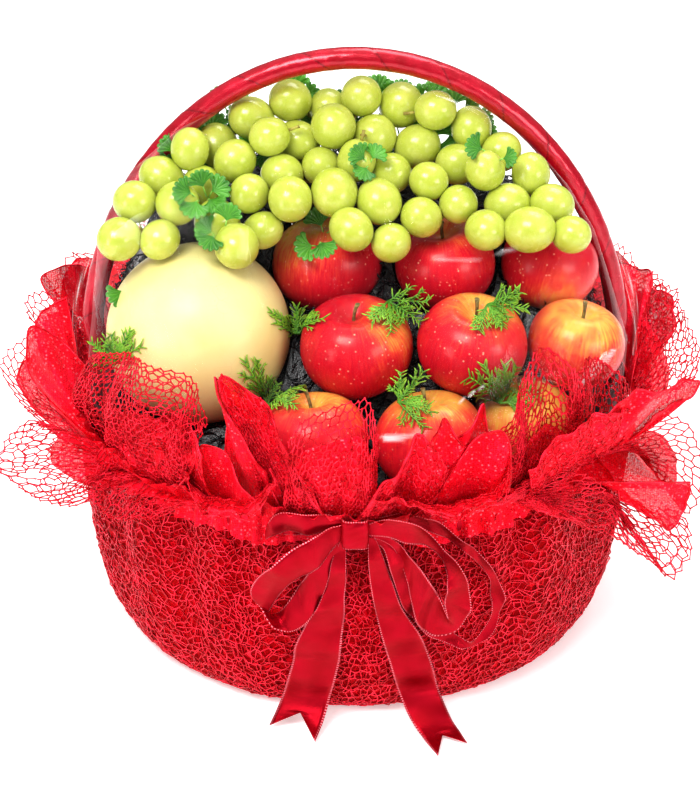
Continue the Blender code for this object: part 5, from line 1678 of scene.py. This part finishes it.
def make_shreds(material):
    """Curled strips of black film strewn over the filling's own top."""
    tree = node_tree("filling")
    draw = random.Random(41)
    segments = 8
    points, faces = [], []
    for _ in range(SHREDS):
        angle, reach = draw.uniform(0, 2 * math.pi), SHREDS_R * math.sqrt(draw.random())
        above = Vector((reach * math.cos(angle), reach * math.sin(angle), 0.5))
        hit, normal, _, _ = tree.ray_cast(above, Vector((0, 0, -1)))
        if hit is None or hit.z < 0.12:
            continue
        if normal.z < 0:
            normal = -normal
        across = normal.cross(Vector((draw.uniform(-1, 1), draw.uniform(-1, 1), 0.2))).normalized()
        along = across.cross(normal)
        length, width = draw.uniform(0.010, 0.024), draw.uniform(0.0012, 0.0024)
        curl, wave = draw.uniform(-90, 90), draw.uniform(0, 6.28)
        base = len(points)
        for k in range(segments + 1):
            t = k / segments - 0.5
            bow = curl * t * t * length * length * 4
            lift = 0.0010 + 0.0022 * (1 + math.sin(wave + 7 * t)) * (0.4 + abs(t))
            centre = hit + along * t * length + across * bow * 0.2 + normal * lift
            twist = across * math.cos(wave + 3 * t) + normal * math.sin(wave + 3 * t) * 0.7
            points += [centre - twist * width / 2, centre + twist * width / 2]
        faces += [(a, a + 1, a + 3, a + 2) for a in range(base, base + 2 * segments, 2)]
    shreds = new_piece("black_shreds", points, faces, material)
    thicken(shreds, SHRED_T)
    return shreds


# ---------------------------------------------------------------- film


def crease_and_highlight_at(place, creases):
    """How creased the film is at a place, which also sets its painted white highlight."""
    found = 0.0
    for start, end, width, strength in creases:
        start, end = Vector(start) / 1000, Vector(end) / 1000
        run = end - start
        along = (place - start).dot(run) / run.length_squared
        if not 0 < along < 1:
            continue
        aside = (place - start - run * along).length
        wide = width / 1000 * math.sin(math.pi * along) ** 0.5
        if aside < wide:
            found = max(found, strength * (1 - (aside / wide) ** 2) ** 0.5)
    return found


def film_piece(name, corners, columns, material):
    """A grid of film, row after row, from the place, U, V and crease of each of its corners."""
    points, u, v, crease = zip(*corners)
    faces = grid_faces(len(points) // columns, columns)
    film = new_piece(name, points, faces, material)
    give_uv(film, u, v)
    give_value(film, "crease", crease)
    return film


def make_film(name, node_name, side, creases, material):
    """Clear film over the fruit on one side of the handle, as tight as the CAD's."""
    tree = node_tree(node_name)
    centre = Vector((0.0, side * 0.0110, FILM_LOW_Z + 0.0006))
    columns, rows = 241, 121
    corners = []
    for j in range(rows):
        t = j / (rows - 1)
        tau = math.radians(0.6 + 88.8 * t)
        before = None
        for i in range(columns):
            a = i / (columns - 1)
            angle = math.radians(1.2 + 177.6 * a)
            out = math.sin(angle)
            direction = Vector((math.cos(angle), side * out * math.sin(tau), out * math.cos(tau)))
            hit = tree.ray_cast(centre, direction)[0]
            if hit is None:
                hit = before if before is not None else centre + direction * 0.19
            before = hit
            # Each crease both lifts the film and sets how white its painted highlight is
            crease = crease_and_highlight_at(hit, creases)
            wrinkle = 0.0003 * math.sin(60 * a + 5 * t) * math.sin(math.pi * t)
            corners.append((hit + direction * (0.0004 + wrinkle + 0.0010 * crease), a, t, crease))
    film = film_piece(name, corners, columns, material)
    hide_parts(node_name)
    return film


def make_film_ties(material):
    """Strips of the film gathered along the handle, where it is drawn round the hoop and taped."""
    bars_long, columns = 60, 5
    pieces = []
    for number, (side, first, last, out, front, width) in enumerate(FILM_STRIPS):
        phase = random.Random(number).uniform(0, 6)
        corners = []
        for k in range(bars_long + 1):
            t = k / bars_long
            place = hoop_point(first + (last - first) * t)
            x, z = place.x / HOOP_HALF ** 2, (place.z - HOOP_SPRING_Z) / HOOP_RISE ** 2
            radial = Vector((x, 0, z)).normalized()
            middle = place + radial * (out + 0.0012 * math.sin(9 * t + phase)) + Vector((0, front, 0))
            middle.x *= side
            radial.x *= side
            spread = width * (0.35 + 0.65 * math.sin(math.pi * min(max(t, 0.02), 0.98)) ** 0.6)
            for s in range(columns):
                w = s / (columns - 1) - 0.5
                fold = Vector((0, 0.0012 * math.sin(9 * w + 5 * t + phase), 0))
                # Painted highlight: thin white streaks across each strip, through the crease value
                crease = 0.04 + 0.5 * max(0.0, math.sin(14 * w + 7 * t + phase)) ** 8
                corners.append((middle + radial * spread * w + fold, w + 0.5, t * 2, crease))
        pieces.append(film_piece(f"film_strip_{number}", corners, columns, material))
    return pieces


# ---------------------------------------------------------------- studio


def make_camera():
    """The camera at the photograph's viewing angle."""
    camera = bpy.data.objects.new("camera", bpy.data.cameras.new("camera"))
    bpy.context.scene.collection.objects.link(camera)
    back = Vector((0, -math.cos(CAMERA_UP), math.sin(CAMERA_UP)))
    camera.location = CAMERA_AIM + back * CAMERA_FAR
    camera.rotation_euler = (-back).to_track_quat("-Z", "Y").to_euler()
    camera.data.lens = LENS
    camera.data.shift_x, camera.data.shift_y = SHIFT
    bpy.context.scene.camera = camera


def make_light(name, place, aim, size, power):
    """A rectangle of soft light over the display's middle line, turned to a height on it."""
    light = bpy.data.objects.new(name, bpy.data.lights.new(name, "AREA"))
    bpy.context.scene.collection.objects.link(light)
    light.location = place
    light.rotation_euler = (Vector(place) - Vector((0, 0, aim))).to_track_quat("Z", "Y").to_euler()
    light.data.shape = "RECTANGLE"
    light.data.size, light.data.size_y = size
    light.data.energy = power


def make_studio():
    """A pale floor, a white world that fades towards the ground, and four soft lights."""
    paint = mottled_paint("floor", (0.93, 0.93, 0.93), 0.7, (1.2, 2, 0.3, 0.7), (0.92, 0.92, 0.92),
                          (0.94, 0.94, 0.94), Emission_Color=(1, 1, 1, 1), Emission_Strength=0.42)
    corners = [(-FLOOR_HALF, -FLOOR_HALF, 0), (FLOOR_HALF, -FLOOR_HALF, 0),
               (FLOOR_HALF, FLOOR_HALF, 0), (-FLOOR_HALF, FLOOR_HALF, 0)]
    floor = new_piece("floor", corners, [(0, 1, 2, 3)], paint)
    floor.location.z = FLOOR_Z
    world = bpy.data.worlds.new("studio")
    world.use_nodes = True
    nodes, links = world.node_tree.nodes, world.node_tree.links
    split = nodes.new("ShaderNodeSeparateXYZ")
    links.new(nodes.new("ShaderNodeTexCoord").outputs["Generated"], split.inputs[0])
    high = nodes.new("ShaderNodeMapRange")
    links.new(split.outputs[2], high.inputs["Value"])
    for socket, value in (("From Min", 0.0), ("From Max", 0.9), ("To Min", 0.14), ("To Max", 0.95)):
        high.inputs[socket].default_value = value
    links.new(high.outputs[0], nodes["Background"].inputs["Strength"])
    nodes["Background"].inputs["Color"].default_value = (1, 1, 1, 1)
    bpy.context.scene.world = world
    for row in LIGHTS:
        make_light(*row)
    bpy.context.scene.view_settings.view_transform = "Standard"
    bpy.context.scene.view_settings.look = "None"
    bpy.context.scene.view_settings.gamma = 0.88


def main():
    """Builds the studio and every piece, in the order in which each rests on the last."""
    make_camera()
    make_studio()
    strand, satin, shred = net_strand_paint(), satin_paint(), shred_paint()
    plastic = mottled_paint("bowl_plastic", (0.16, 0.008, 0.014), 0.5, (40, 3, 0.3, 0.7),
                            (0.13, 0.005, 0.011), (0.19, 0.010, 0.017), (300, 0.2, 0.0006))
    for node, paint in (("bowl", plastic), ("filling", shred)):
        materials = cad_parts[node].data.materials
        materials.clear()
        materials.append(paint)

    balls = [(slope_point(*MELON_AT), MELON_R)]
    balls += [(slope_point(*row[1:4]), row[4]) for row in APPLES]
    pieces = [make_lining(lining_paint()), make_wrap_net(strand), make_tie(satin)]
    pieces += make_collar(strand, organza_paint(), balls)
    pieces += [make_bow(satin), make_handle(handle_paint()), make_melon(melon_paint())]

    skin = apple_paint()
    wood = mottled_paint("apple_stalk", (0.14, 0.09, 0.03), 0.7, (240, 3, 0.35, 0.65),
                         (0.10, 0.06, 0.02), (0.34, 0.28, 0.08), (1200, 0.6, 0.0004))
    pieces += [make_apple(row, skin, wood) for row in APPLES]
    grapes = settle_grapes(garland_seeds(), balls)
    peel = grape_paint()
    stalk = mottled_paint("grape_stalk", (0.30, 0.24, 0.05), 0.6, (160, 3, 0.35, 0.65),
                          (0.20, 0.13, 0.025), (0.46, 0.42, 0.08), (900, 0.5, 0.0004))
    for name, _ in BUNCHES:
        pieces += make_bunch(name, grapes, peel, stalk)

    fruit = Fruit(balls + [(place, radius) for place, radius, _ in grapes])
    pieces += make_parsley(parsley_paint(), fruit)
    pieces += [make_sprigs(sprig_paint(), fruit), make_shreds(shred)]
    film = film_paint()
    pieces.append(make_film("film_over_front", "film_front", -1, CREASES_AND_HIGHLIGHTS_FRONT, film))
    pieces.append(make_film("film_over_back", "film_back", 1, [], film))
    pieces += make_film_ties(film)
    for piece in pieces:
        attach(piece, "root")


main()
